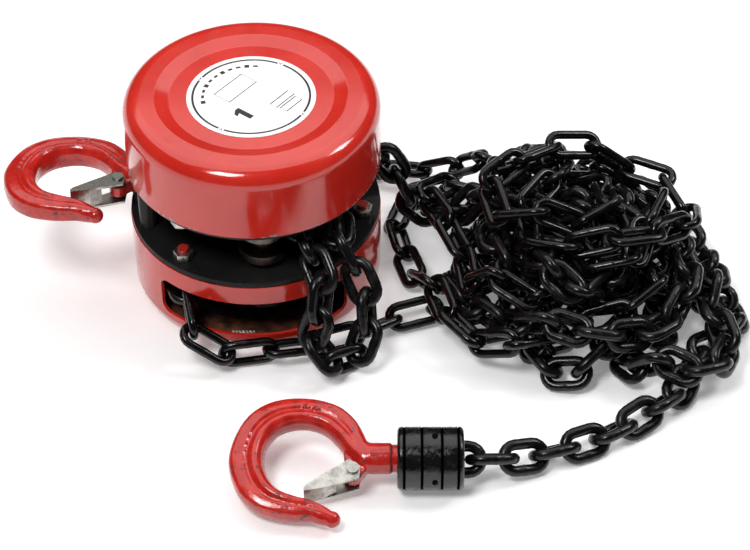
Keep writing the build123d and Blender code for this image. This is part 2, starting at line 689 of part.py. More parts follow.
# The body as stacked drums that chain can't enter: lowest, highest, radius.
BODY_OUTLINE = ((-50.0, 4.6, BODY_RADIUS - 2.0), (4.6, GAP_LOW, BODY_RADIUS),
                (GAP_HIGH, TOTAL_HEIGHT, BODY_RADIUS))


def dot(a, b):
    return a[:, 0] * b[:, 0] + a[:, 1] * b[:, 1] + a[:, 2] * b[:, 2]


def unit(v):
    return v / np.sqrt(dot(v, v))[:, None]


def cross(a, b):
    return np.stack([a[:, 1] * b[:, 2] - a[:, 2] * b[:, 1],
                     a[:, 2] * b[:, 0] - a[:, 0] * b[:, 2],
                     a[:, 0] * b[:, 1] - a[:, 1] * b[:, 0]], 1)


def curve_through(points, steps=12):
    """Smooth curve through way points."""
    p = [np.array(q, float) for q in points]
    p = [2 * p[0] - p[1]] + p + [2 * p[-1] - p[-2]]
    curve = []
    for a, b, c, d in zip(p, p[1:], p[2:], p[3:]):
        for k in range(steps):
            t = k / steps
            curve.append(0.5 * (2 * b + (c - a) * t + (2 * a - 5 * b + 4 * c - d) * t * t
                                + (3 * b - a - 3 * c + d) * t ** 3))
    return curve + [p[-2]]


def walk(curve, pitch):
    """Points one pitch apart along a curve."""
    nodes = [curve[0]]
    place, k = curve[0], 1
    while k < len(curve):
        d, a = curve[k] - place, place - nodes[-1]
        dd, da, aa = sum(d * d), sum(a * d), sum(a * a)
        t = (-da + math.sqrt(max(da * da - dd * (aa - pitch * pitch), 0))) / dd if dd > 1e-9 else 2
        if t <= 1:
            place = place + d * t
            nodes.append(place)
        else:
            place = curve[k]
            k += 1
    return np.round(np.array(nodes), 4)


def wander(rng, start, heading, count, step, low, high):
    """Way points that cross the heap from rim to rim, drawing in as they climb."""
    x, y = start
    points = []
    spin, goal = rng.uniform(0, 2 * math.pi), start
    for k in range(count):
        share = k / (count - 1)
        if math.hypot(goal[0] - x, goal[1] - y) < 1.5 * step:
            spin += rng.uniform(1.5, 2.7)
            reach = rng.uniform(0.75, 1.05) * (1 - 0.35 * share)
            goal = (HEAP_CENTRE[0] + HEAP_REACH[0] * reach * math.cos(spin),
                    HEAP_CENTRE[1] + HEAP_REACH[1] * reach * math.sin(spin))
        wanted = math.atan2(goal[1] - y, goal[0] - x)
        turn = (wanted - heading + math.pi) % (2 * math.pi) - math.pi
        heading += max(-0.7, min(0.7, turn)) + rng.uniform(-0.15, 0.15)
        x += step * math.cos(heading)
        y += step * math.sin(heading)
        points.append((x, y, low + (high - low) * share))
    return points


def diagonal_rolls(nodes):
    """Across directions of a chain whose links lie alternately rolled either way."""
    along = unit(nodes[1:] - nodes[:-1])
    side = unit(np.stack([-along[:, 1], along[:, 0], 0 * along[:, 0]], 1))
    up = cross(along, side)
    sign = np.where(np.arange(len(along)) % 2 == 0, 1.0, -1.0)[:, None]
    return unit(side + up * sign)


def wire_points(size, count):
    """Points round a link's wire, as (along, across)."""
    bend = (size["inside"] + size["wire"]) / 2
    half = (size["pitch"] + size["wire"]) / 2 - bend
    leg, arc = 2 * half, math.pi * bend
    points = []
    for k in range(count):
        s = (k + 0.5) * 2 * (leg + arc) / count
        side = 1 if s < leg + arc else -1
        s = s if side == 1 else s - leg - arc
        if s < leg:
            points.append((side * (s - half), side * bend))
        else:
            a = math.pi / 2 - (s - leg) / bend
            points.append((side * (half + bend * math.cos(a)), side * bend * math.sin(a)))
    return np.round(np.array(points), 6)


class Heap:
    """Chains that settle on the floor, on each other and against the hoist's body."""

    def __init__(self, chains):
        self.sizes = [c["size"] for c in chains]
        self.points = np.concatenate([c["nodes"] for c in chains])
        self.free = np.concatenate([c["free"] for c in chains])
        first = np.cumsum([0] + [len(c["nodes"]) for c in chains[:-1]])
        self.start = np.concatenate([f + np.arange(len(c["nodes"]) - 1) for f, c in zip(first, chains)])
        self.chain = np.concatenate([np.full(len(c["nodes"]) - 1, k) for k, c in enumerate(chains)])
        self.across = np.concatenate([c["across"] for c in chains])
        self.pitch = np.array([self.sizes[k]["pitch"] for k in self.chain])
        self.wire = np.array([self.sizes[k]["wire"] / 2 for k in self.chain])
        self.count = len(self.start)
        self.loose = np.maximum(self.free[self.start], self.free[self.start + 1])
        self.joined = np.nonzero(self.chain[:-1] == self.chain[1:])[0]
        self.next = np.full(self.count, -1)
        self.next[self.joined] = self.joined + 1
        for k, run in enumerate(chains):
            if np.array_equal(run["nodes"][0], run["nodes"][-1]):
                links = np.nonzero(self.chain == k)[0]
                self.next[links[-1]] = links[0]
        self.margin = 0.5

    def use_ropes(self, share):
        """Treats every link as a thick piece of rope; used to untangle the first layout."""
        quarter = self.pitch / 4
        self.local = np.stack([np.stack([-quarter, 0 * quarter], 1), np.stack([quarter, 0 * quarter], 1)], 1)
        self.radius = share * np.where(self.wire > 2.7, 9.0, 7.8)
        self.skip = 2

    def use_wires(self, count):
        """Treats every link as its real wire loop."""
        self.local = np.array([wire_points(self.sizes[k], count) for k in self.chain])
        self.radius = self.wire
        self.skip = 0

    def square_up(self):
        """Keeps every across direction at right angles to its link; returns the directions."""
        along = unit(self.points[self.start + 1] - self.points[self.start])
        self.across = unit(self.across - along * dot(self.across, along)[:, None])
        return along

    def poses(self):
        """Rigid place of every link: centre, along, across.  Neighbours touch wire to wire."""
        along = self.square_up()
        before, after = along.copy(), along.copy()
        k = np.nonzero(self.next >= 0)[0]
        n = self.next[k]
        normal = cross(self.across[k], self.across[n])
        sign = np.where(dot(normal, along[k] + along[n]) < 0, -1.0, 1.0)
        normal = unit(normal * sign[:, None])
        after[k], before[n] = normal, normal
        reach = (self.wire + CHAIN_PLAY / 2)[:, None]
        head = self.points[self.start] - reach * before
        tail = self.points[self.start + 1] + reach * after
        along = unit(tail - head)
        across = unit(self.across - along * dot(self.across, along)[:, None])
        return (head + tail) / 2, along, across

    def wires(self):
        centre, along, across = self.poses()
        lengthwise = along[:, None] * self.local[:, :, :1]
        sideways = across[:, None] * self.local[:, :, 1:]
        return (centre[:, None] + lengthwise + sideways).reshape(-1, 3)

    def push(self, spot, shift):
        """Adds a wanted shift of some wire points to their links' ends and roll."""
        per_link = self.local.shape[1]
        link, k = spot // per_link, spot % per_link
        lean, arm = self.local[link, k, 0] / self.pitch[link], self.local[link, k, 1]
        for end, weight in ((0, 0.5 - lean), (1, 0.5 + lean)):
            node = self.start[link] + end
            weight = np.clip(weight, -0.1, 1.1) * self.free[node]
            for c in range(3):
                self.move[:, c] += np.bincount(node, weights=shift[:, c] * weight, minlength=len(self.points))
            self.hits += np.bincount(node, weights=np.abs(weight), minlength=len(self.points))
        for c in range(3):
            self.roll[:, c] += np.bincount(link, weights=shift[:, c] * arm / 49.0, minlength=self.count)
        self.rolls += np.bincount(link, minlength=self.count)

    def push_links_apart(self, spots):
        per_link = self.local.shape[1]
        radius = np.repeat(self.radius, per_link)
        found = cKDTree(spots).query_pairs(2 * float(self.radius.max()) + self.margin, output_type="ndarray")
        found = found[np.lexsort((found[:, 1], found[:, 0]))]
        a, b = found[:, 0] // per_link, found[:, 1] // per_link
        same = self.chain[a] == self.chain[b]
        near = (self.next[a] == b) | (self.next[b] == a)
        keep = ~(same & (np.abs(a - b) <= self.skip))
        found, near = found[keep], near[keep]
        gap = spots[found[:, 1]] - spots[found[:, 0]]
        length = np.sqrt(dot(gap, gap)) + 1e-9
        wanted = radius[found[:, 0]] + radius[found[:, 1]] + np.where(near, -0.15, self.margin)
        hit = length < wanted
        found, gap, length, wanted = found[hit], gap[hit], length[hit], wanted[hit]
        shift = gap * (0.5 * (wanted - length) / length)[:, None]
        self.push(found[:, 0], -shift)
        self.push(found[:, 1], shift)

    def push_off_floor_and_body(self, spots):
        per_link = self.local.shape[1]
        radius = np.repeat(self.radius, per_link)
        everything = np.arange(len(spots))
        depth = radius + 0.15 - spots[:, 2]
        low = everything[depth > 0]
        self.push(low, np.stack([0 * low, 0 * low, depth[low]], 1))
        loose = np.repeat(self.loose, per_link) > 0
        out = np.sqrt(spots[:, 0] ** 2 + spots[:, 1] ** 2) + 1e-9
        for floor, ceiling, drum in BODY_OUTLINE:
            side = drum + radius + 0.4 - out
            top = ceiling + radius + 0.4 - spots[:, 2]
            bottom = spots[:, 2] - floor + radius + 0.4
            inside = everything[loose & (side > 0) & (top > 0) & (bottom > 0)]
            over = inside[(top[inside] < side[inside]) & (top[inside] < bottom[inside])]
            under = inside[(bottom[inside] < side[inside]) & (bottom[inside] <= top[inside])]
            beside = np.setdiff1d(inside, np.concatenate([over, under]))
            self.push(over, np.stack([0 * over, 0 * over, top[over]], 1))
            self.push(under, np.stack([0 * under, 0 * under, -bottom[under]], 1))
            scale = side[beside] / out[beside]
            self.push(beside, np.stack([spots[beside, 0] * scale, spots[beside, 1] * scale, 0 * scale], 1))

    def limit_joints(self):
        """Neighbours stay near a quarter turn apart and don't fold back on each other."""
        for half in (0, 1):
            k = self.joined[self.joined % 2 == half]
            lean = dot(self.across[k], self.across[k + 1])
            excess = np.where(np.abs(lean) > 0.2, lean - np.sign(lean) * 0.2, 0.0)
            shift = (0.5 * excess)[:, None]
            first = self.across[k].copy()
            self.across[k] -= self.across[k + 1] * shift * self.loose[k][:, None]
            self.across[k + 1] -= first * shift * self.loose[k + 1][:, None]
        self.square_up()
        for half in (0, 1):
            k = self.joined[self.joined % 2 == half]
            a, b = self.start[k], self.start[k + 1] + 1
            span = self.points[b] - self.points[a]
            length = np.sqrt(dot(span, span)) + 1e-9
            shift = span * (0.5 * np.maximum(1.62 * self.pitch[k] - length, 0) / length)[:, None]
            self.points[a] -= shift * self.free[a][:, None]
            self.points[b] += shift * self.free[b][:, None]

    def keep_pitch(self):
        for half in (0, 1):
            k = np.arange(half, self.count, 2)
            a, b = self.start[k], self.start[k] + 1
            span = self.points[b] - self.points[a]
            length = np.sqrt(dot(span, span)) + 1e-9
            weight = np.maximum(self.free[a] + self.free[b], 1e-9)
            shift = span * ((length - self.pitch[k]) / length / weight)[:, None]
            self.points[a] += shift * self.free[a][:, None]
            self.points[b] -= shift * self.free[b][:, None]

    def step(self, sink):
        self.points[:, 2] -= sink * self.free
        spots = self.wires()
        self.move, self.hits = np.zeros_like(self.points), np.zeros(len(self.points))
        self.roll, self.rolls = np.zeros_like(self.across), np.zeros(self.count)
        self.push_links_apart(spots)
        self.push_off_floor_and_body(spots)
        self.points += self.move / np.maximum(self.hits, 1.0)[:, None]
        self.across += 0.8 * self.roll / np.maximum(self.rolls, 1.0)[:, None] * self.loose[:, None]
        self.square_up()
        self.limit_joints()
        for _ in range(6):
            self.keep_pitch()

    def run(self, steps, sink, margin):
        self.margin = margin
        for _ in range(steps):
            self.step(sink)

    def settle(self):
        """Untangles the layout as thick ropes, lets it sink, then settles the real links."""
        for k in range(12):
            self.use_ropes((k + 1) / 12)
            self.run(25, 0.0, 0.3)
        self.run(100, 0.0, 0.3)
        self.run(600, 0.05, 0.3)
        self.run(100, 0.0, 0.3)
        self.use_wires(12)
        self.run(100, 0.0, 1.0)
        self.run(700, 0.04, 1.0)
        self.run(150, 0.02, 0.9)
        self.run(900, 0.0, 0.8)
        self.use_wires(26)
        self.run(500, 0.0, 0.5)


def chain(size, nodes, grip):
    """A chain; grip lists (first, last, freedom) for points that are held or that drag."""
    free = np.ones(len(nodes))
    for first, last, freedom in grip:
        free[first:last] = freedom
    return {"size": size, "nodes": nodes, "free": free, "across": diagonal_rolls(nodes)}


def level_sides(nodes):
    """For every link, the horizontal direction at right angles to it."""
    along = unit(nodes[1:] - nodes[:-1])
    return unit(np.stack([-along[:, 1], along[:, 0], 0 * along[:, 0]], 1))


def load_chain():
    """From the bottom hook through the heap, round the sheave and out to the anchored end."""
    pitch = LOAD_CHAIN["pitch"]
    pin = CHAIN_PIN_X - 3.0 - CHAIN_PLAY / 2
    y, z = BOTTOM_HOOK_CENTRE[1:]
    way = [(pin, y, z), (pin + 18, y, z - 1.0), (140, y + 4, 12.5), (158, -158, 9), (188, -146, 8),
           (217, -127, 8), (246, -97, 8), (262, -62, 12), (258, -30, 20)]
    way += wander(random.Random(LOAD_SEED), (250, -10), 2.3, 102, pitch, 18, 72)
    way += [(122, 20, 54), (106, 10, 34), (93, 8, 46), (82, 10, 60), (71, 22, 65)]
    heap = walk(curve_through(way), pitch)
    turns = [90 + 180 / SHEAVE_LINKS * k for k in range(SHEAVE_LINKS + 1)]
    wrap = [(pitch * k, PITCH_RADIUS, MID) for k in (3, 2, 1)]
    wrap += [(*polar(PITCH_RADIUS, a), MID) for a in turns] + [(pitch, -PITCH_RADIUS, MID)]
    way = [(pitch, -PITCH_RADIUS, MID), (32, -42, MID), (40, -58, 66), (40, -77, 52), (36, -85, 34),
           (36, -91, 17), (41, -93, 9), (53, -86, 9), (63, -82, 16), (65, -77, 34), (64, -68, 52),
           (57, -57, 63)]
    bundle = walk(curve_through(way), pitch)[1:]
    anchor = [(ANCHOR_PLACE[0], ANCHOR_PLACE[1] - 15.0, MID), (ANCHOR_PLACE[0], ANCHOR_PLACE[1] + 3.0, MID)]
    nodes = np.round(np.concatenate([heap, wrap, bundle, anchor]), 4)
    first = len(heap)
    last = first + len(wrap)
    end = len(nodes)
    run = chain(LOAD_CHAIN, nodes, ((0, FREE_LINKS + 1, 0), (first, last, 0), (last, end - 2, 0.05),
                                    (end - 2, end, 0)))
    across, level = run["across"], level_sides(nodes)
    for k in range(first, last - 1):
        across[k] = (0, 0, 1) if (last - 2 - k) % 2 == 0 else level[k]
    across[-1] = level[-1]
    return run


def hand_chain():
    """From the hand wheel out of the front window, through the heap and back in at the rear."""
    pitch = HAND_CHAIN["pitch"]
    radius = pitch / 2 / math.sin(math.pi / (2 * WHEEL_POCKETS))
    wheel = [(*polar(radius, WHEEL_TURN + 180 + 180 / WHEEL_POCKETS * k), WHEEL_MID) for k in (-1, 0, 1)]
    rear = [wheel[0]]
    for heading, climb in ((62, 3), (30, 0), (18, -6)):
        rear.insert(0, stride(rear[0], pitch, heading + WHEEL_TURN, climb))
    front = [wheel[-1]]
    for heading, climb in ((-68, 5), (-84, -8)):
        front.append(stride(front[-1], pitch, heading, climb))
    way = [front[-1], (-30, -80, 8), (-16, -77, 7), (12, -77, 7), (34, -75, 7), (60, -66, 7),
           (84, -52, 7), (104, -54, 12)]
    way += wander(random.Random(HAND_SEED), (118, -64), -0.5, 102, pitch, 26, 88)
    way += [(112, 62, 40), (92, 66, 18), (60, 82, 9), (38, 86, 9), stride(rear[0], pitch, 12, -15)]
    heap = walk(curve_through(way), pitch)[1:]
    nodes = np.round(np.concatenate([wheel[1:], front[1:], heap, rear[:-1], wheel[:2]]), 4)
    held = len(front) + 1
    run = chain(HAND_CHAIN, nodes, ((0, held, 0), (len(nodes) - held - 1, len(nodes), 0)))
    level = level_sides(nodes)
    for k in range(-4, 3):
        run["across"][k] = (0, 0, 1) if k % 2 == 0 else level[k]
    return run


def stride(place, length, heading, climb):
    """The point one length away, by compass heading and climb in degrees."""
    flat = length * math.cos(math.radians(climb))
    x, y = polar(flat, heading)
    return place[0] + x, place[1] + y, place[2] + length * math.sin(math.radians(climb))


def lay_chains():
    """Every link of both chains in its place: two lists of solids."""
    heap = Heap([load_chain(), hand_chain()])
    heap.settle()
    shapes = [link_solid(size) for size in heap.sizes]
    laid = [[], []]
    for k, (centre, along, across) in enumerate(zip(*heap.poses())):
        laid[heap.chain[k]].append(place_link(shapes[heap.chain[k]], centre, along, across))
    return laid


# ---------------------------------------------------------------- writing the nodes
def cover_fasteners():
    """Studs of both covers, and their nuts on the inner sides of the side plates."""
    places = [polar(STUD_CIRCLE, a) for a in STUD_ANGLES]
    low, high = GAP_LOW + NUT_HEIGHT, GAP_HIGH - NUT_HEIGHT
    studs = [cover_studs(HAND_RIM - 10.0, low + STUD_END), cover_studs(high - STUD_END, GEAR_RIM + 10.0)]
    fitted = [nuts(places, GAP_LOW, low, 3.0), nuts(places, high, GAP_HIGH, 3.0)]
    return {"cover_studs": together(studs), "cover_nuts": together(fitted)}


def stay_fasteners():
    height, across = 4.6, 9.0
    ends = [nuts(STAY_PLACES, HAND_RIM - height, HAND_RIM, 3.0, across),
            nuts(STAY_PLACES, GEAR_RIM, GEAR_RIM + height, 3.0, across)]
    return {"stay_bolts": stay_bolts(), "stay_nuts": together(ends)}


def body_nodes():
    return {
        "gear_cover": gear_cover(), "rating_label": rating_label(), "hand_wheel_cover": hand_wheel_cover(),
        "gear_side_plate": gear_side_plate(), "hand_side_plate": hand_side_plate(),
        **cover_fasteners(), **stay_fasteners(),
        "bearing_races": bearing_races(), "bearing_balls": bearing_balls(),
        "roller_pins": roller_pins(), "chain_stripper": chain_stripper(), "anchor_pin": anchor_pin(),
        "guide_roller_front": guide_roller(*ROLLER_PLACES[0]),
        "guide_roller_back": guide_roller(*ROLLER_PLACES[1]),
    }


def gear_train_nodes():
    return {
        "gear_plate": gear_plate(), "gear_pillars": gear_pillars(), "shaft_bushes": shaft_bushes(),
        "gear_plate_nuts": nuts(PILLAR_PLACES, GEAR_PLATE_HIGH, GEAR_PLATE_HIGH + 3.2, 2.5, 8.0),
        "drive_shaft": drive_shaft(), "load_sheave": load_sheave(), "load_gear": load_gear(),
        "load_gear_ring": load_gear_ring(), "disc_gear_1": disc_gear(1), "disc_gear_2": disc_gear(-1),
    }


def brake_nodes():
    return {
        "brake_hub": brake_hub(), "friction_discs": friction_discs(), "ratchet_disc": ratchet_disc(),
        "pawl_1": pawl(PAWL_ANGLES[0]), "pawl_2": pawl(PAWL_ANGLES[1]), "pawl_pins": pawl_pins(),
        "pawl_springs": pawl_springs(), "hand_wheel": hand_wheel(), "castle_nut": castle_nut(),
        "split_pin": split_pin(),
    }


def hook_nodes():
    nodes = {
        "top_hook_yoke": top_hook_yoke(), "top_hook_pins": top_hook_pins(),
        "top_hook": top_frame(top_hook()), "top_hook_nut": top_frame(hook_nut(17.0, 56.4, 61.4, 7.6)),
        "bottom_hook": bottom_frame(bottom_hook()),
        "bottom_hook_nut": bottom_frame(hook_nut(18.0, 59.1, 65.4, 5.0)),
    }
    for name, frame in (("top", top_frame), ("bottom", bottom_frame)):
        nodes[name + "_hook_latch"] = frame(hook_latch())
        nodes[name + "_latch_rivet"] = frame(latch_rivet())
        nodes[name + "_latch_spring"] = frame(latch_spring())
    return nodes


def coupling_nodes():
    return {
        "coupling_half_a": coupling_frame(coupling_half(1)),
        "coupling_half_b": coupling_frame(coupling_half(-1)),
        "coupling_screws": coupling_frame(coupling_screw_bars(21.0)),
        "chain_pin": coupling_frame(chain_pin_bar()),
        "thrust_washer": coupling_frame(thrust_washer()),
    }


def chain_nodes():
    load_links, hand_links = lay_chains()
    nodes = {"load_link_%d" % (k + 1): load_links[k] for k in range(FREE_LINKS)}
    nodes["load_chain"] = together(load_links[FREE_LINKS:])
    nodes["hand_chain"] = together(hand_links)
    return nodes


def main():
    os.makedirs("parts", exist_ok=True)
    for group in (body_nodes, gear_train_nodes, brake_nodes, hook_nodes, coupling_nodes, chain_nodes):
        for name, shape in group().items():
            export_step(shape, "parts/" + name + ".step")


main()
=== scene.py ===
import json
import math
import random

import bmesh
import bpy
import numpy as np
from mathutils import Matrix, Vector


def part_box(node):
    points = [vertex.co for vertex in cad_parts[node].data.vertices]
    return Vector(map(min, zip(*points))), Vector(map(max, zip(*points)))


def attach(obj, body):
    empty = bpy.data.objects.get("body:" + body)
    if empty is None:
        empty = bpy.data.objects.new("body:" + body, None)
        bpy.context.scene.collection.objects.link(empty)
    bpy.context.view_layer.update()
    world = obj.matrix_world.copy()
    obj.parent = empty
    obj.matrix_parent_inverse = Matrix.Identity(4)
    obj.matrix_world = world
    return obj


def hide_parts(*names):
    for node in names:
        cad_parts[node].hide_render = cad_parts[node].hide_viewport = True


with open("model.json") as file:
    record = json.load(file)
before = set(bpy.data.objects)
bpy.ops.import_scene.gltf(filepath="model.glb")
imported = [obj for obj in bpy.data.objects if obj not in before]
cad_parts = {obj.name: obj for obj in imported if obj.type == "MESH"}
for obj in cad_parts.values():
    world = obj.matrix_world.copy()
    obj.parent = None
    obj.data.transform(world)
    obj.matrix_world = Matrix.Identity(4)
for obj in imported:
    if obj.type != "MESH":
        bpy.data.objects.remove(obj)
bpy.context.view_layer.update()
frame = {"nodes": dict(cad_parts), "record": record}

MM = 0.001

# The drums, in millimetres, round the Z axis and with the lower one standing on the floor.
DRUM_BORE = 69.2            # just over the radius of their inner walls
UPPER_RIM = 84.8            # lower edge of the upper drum
LOWER_FLOOR = 20.0          # everything inside the lower drum below this height is its floor

# Links: wire, pitch and inside width.
LOAD_LINK = (6.0, 18.0, 8.0)
HAND_LINK = (5.0, 25.0, 7.4)
LEAD_LINKS = 5

# Hooks: centre, tilt about the shank in degrees, and the shank's rods as start, end and radius.
TOP_HOOK = ((-105.2, 1.0, 66.3), -5.0, ((38.0, 40.1, 8.4), (39.5, 61.2, 7.6), (60.7, 62.6, 6.0)))
BOTTOM_HOOK = ((27.1, -168.5, 17.0), 14.0, ((38.0, 49.0, 8.4), (48.5, 58.9, 7.4), (58.5, 66.3, 5.0)))
LATCH_PIVOT = (29.0, -9.5)
LUG_HALF = 3.6              # half the thickness of the lug that carries the latch
TIP_PLACE, TIP_RADIUS = (18.4, -36.0, 0), 4.5
SKIN_VOXEL = 0.55           # detail of a forged hook's skin
EDGE_BEVEL = 0.25


# ---------------------------------------------------------------- shader building
class Shader:
    """A node material under construction, around one Principled shader.

    Texture space is the object's own, in metres, so patterns stay with a moving piece.
    """

    def __init__(self, name):
        self.material = bpy.data.materials.new(name)
        self.material.use_nodes = True
        self.tree = self.material.node_tree
        self.surface = self.tree.nodes["Principled BSDF"]
        self.space = self.add("ShaderNodeTexCoord").outputs["Object"]

    def add(self, kind, values=None, **settings):
        node = self.tree.nodes.new(kind)
        for key, value in settings.items():
            setattr(node, key, value)
        for key, value in (values or {}).items():
            self.feed(node.inputs[key], value)
        return node

    def feed(self, socket, value):
        """Links a socket to an output, or gives it a plain value."""
        if isinstance(value, bpy.types.NodeSocket):
            self.tree.links.new(value, socket)
        elif isinstance(value, tuple) and len(value) == 3 and socket.type == "RGBA":
            socket.default_value = (*value, 1.0)
        else:
            socket.default_value = value

    def set(self, **values):
        for key, value in values.items():
            self.feed(self.surface.inputs[key.replace("_", " ")], value)

    def noise(self, size, detail=3.0, roughness=0.55, stretch=(1, 1, 1)):
        """Soft noise whose lumps are about size millimetres across."""
        vector = self.add("ShaderNodeMapping", {"Vector": self.space, "Scale": stretch}).outputs[0]
        values = {"Vector": vector, "Scale": 1.0 / (size * MM), "Detail": detail, "Roughness": roughness}
        return self.add("ShaderNodeTexNoise", values).outputs["Fac"]

    def cells(self, size):
        """Distance to the nearest of scattered points, size millimetres apart."""
        values = {"Vector": self.space, "Scale": 1.0 / (size * MM)}
        return self.add("ShaderNodeTexVoronoi", values, feature="F1").outputs["Distance"]

    def math(self, operation, a, b=0.0):
        node = self.add("ShaderNodeMath", operation=operation)
        self.feed(node.inputs[0], a)
        self.feed(node.inputs[1], b)
        return node.outputs[0]

    def times(self, *values):
        product = values[0]
        for value in values[1:]:
            product = self.math("MULTIPLY", product, value)
        return product

    def remap(self, value, low, high, to_low=0.0, to_high=1.0):
        """Eases from to_low to to_high while the value goes from low to high."""
        values = {"Value": value, "From Min": low, "From Max": high, "To Min": to_low, "To Max": to_high}
        return self.add("ShaderNodeMapRange", values, interpolation_type="SMOOTHSTEP").outputs[0]

    def blend(self, share, a, b):
        """Colour a where share is 0 and colour b where it is 1."""
        node = self.add("ShaderNodeMix", data_type="RGBA")
        self.feed(node.inputs[0], share)
        self.feed(node.inputs[6], a)
        self.feed(node.inputs[7], b)
        return node.outputs[2]

    def bump(self, height, depth, normal=None):
        """Bump of the given depth in millimetres."""
        values = {"Height": height, "Distance": depth * MM, "Strength": 1.0}
        if normal is not None:
            values["Normal"] = normal
        return self.add("ShaderNodeBump", values).outputs[0]

    def place(self):
        """The three coordinates of the shaded point, in metres."""
        return self.add("ShaderNodeSeparateXYZ", {"Vector": self.space}).outputs

    def from_axis(self):
        """Distance of the shaded point from the Z axis, in metres."""
        x, y, _ = self.place()
        return self.math("SQRT", self.math("ADD", self.times(x, x), self.times(y, y)))

    def edges(self, low=0.51, high=0.58):
        """1 on convex edges, fading inwards."""
        return self.remap(self.add("ShaderNodeNewGeometry").outputs["Pointiness"], low, high)


# ---------------------------------------------------------------- finishes
RED_DEEP, RED_BRIGHT, RED_STAIN = (0.58, 0.020, 0.011), (0.66, 0.030, 0.019), (0.28, 0.03, 0.02)
BROWN_DIRT = (0.10, 0.02, 0.015)
GREASE_DARK, GREASE_BROWN = (0.028, 0.012, 0.008), (0.15, 0.055, 0.032)
SCORE_DARK, SCORE_BRIGHT = (0.10, 0.085, 0.07), (0.80, 0.78, 0.70)
COAT = 0.45                 # share of clear coat on the drums
# The coupling's grooves, measured along it from the hook's centre, where its own space begins.
COUPLING_GROOVES = (82.9, 92.2, 102.7, 111.3)


def inside_drum(s):
    """1 on the faces that look into a drum round the Z axis, 0 on its outer faces."""
    x, y, z = s.place()
    facing = s.add("ShaderNodeTexCoord").outputs["Normal"]
    normal = s.add("ShaderNodeSeparateXYZ", {"Vector": facing}).outputs
    outward = s.math("ADD", s.times(x, normal[0]), s.times(y, normal[1]))
    wall = s.math("LESS_THAN", outward, -0.01)
    floor = s.times(s.math("GREATER_THAN", normal[2], 0.3), s.math("LESS_THAN", z, LOWER_FLOOR * MM))
    return s.times(s.math("MAXIMUM", wall, floor), s.math("LESS_THAN", s.from_axis(), DRUM_BORE * MM))


def rim_chips(s, rim, reach=3.2):
    """1 where the enamel has chipped off, in stretches along the rim at this height."""
    away = s.math("ABSOLUTE", s.math("SUBTRACT", s.place()[2], rim * MM))
    near = s.remap(away, 0.0, reach * MM, 1.0, 0.0)
    ragged = s.remap(s.noise(3.4, 4, 0.65), 0.42, 0.64)
    stretch = s.remap(s.noise(26, 2), 0.46, 0.56)
    return s.remap(s.times(near, ragged, stretch), 0.42, 0.5)


def bare_spot(s, inside):
    """1 on the one worn spot of the lower drum's floor, just behind its front lip."""
    x, y, z = s.place()
    across = s.remap(s.math("ABSOLUTE", s.math("ADD", x, 6.5 * MM)), 6.0 * MM, 7.0 * MM, 1.0, 0.0)
    front = s.remap(y, -61.0 * MM, -60.0 * MM, 1.0, 0.0)
    low = s.remap(z, 8.5 * MM, 9.5 * MM, 1.0, 0.0)
    return s.times(across, front, inside, low)


def scored_steel(s):
    """Colour of steel scored by the chain: bright and dark stripes, broken up by noise."""
    x, y, _ = s.place()
    stripes = s.math("SINE", s.times(s.math("ADD", x, s.times(y, 0.5)), 3200.0))
    broken = s.math("ADD", stripes, s.remap(s.noise(1.6, 3), 0.3, 0.7, -1.0, 1.0))
    return s.blend(s.remap(broken, -0.6, 0.6), SCORE_DARK, SCORE_BRIGHT)


def gloss_red(name, rim=None, greasy=False):
    """Thick red enamel with smudges and specks; chipped along a rim, or greasy inside a drum."""
    s = Shader(name)
    smudge = s.remap(s.noise(38, 4), 0.35, 0.7)
    streak = s.remap(s.noise(9, 5, 0.7, (1, 1, 0.3)), 0.5, 0.75)
    dirt = s.times(s.remap(s.noise(1.3, 2), 0.70, 0.76), s.remap(s.noise(16, 2), 0.45, 0.7))
    colour = s.blend(smudge, RED_DEEP, RED_BRIGHT)
    colour = s.blend(s.times(streak, 0.16), colour, RED_STAIN)
    colour = s.blend(s.times(dirt, 0.75), colour, BROWN_DIRT)
    rough = s.math("ADD", s.remap(streak, 0.0, 1.0, 0.13, 0.24), s.times(smudge, 0.05))
    normal = s.bump(s.noise(2.6, 2), 0.012)
    coat = COAT
    if rim is not None:
        chip = rim_chips(s, rim)
        colour = s.blend(chip, colour, s.blend(s.noise(2.0), (0.05, 0.04, 0.035), (0.55, 0.50, 0.47)))
        rough = s.math("ADD", rough, s.times(chip, 0.35))
        normal = s.bump(s.math("SUBTRACT", 1.0, chip), 0.09, normal)
    if greasy:
        inside = inside_drum(s)
        grease = s.blend(s.remap(s.noise(7, 4, 0.6), 0.35, 0.65), GREASE_DARK, GREASE_BROWN)
        colour = s.blend(inside, colour, grease)
        colour = s.blend(bare_spot(s, inside), colour, scored_steel(s))
        rough = s.math("ADD", rough, s.times(inside, 0.25))
        coat = s.remap(inside, 0.0, 1.0, COAT, 0.0)
    s.set(Base_Color=colour, Roughness=rough, Normal=normal, Coat_Weight=coat, Coat_Roughness=0.08)
    return s.material


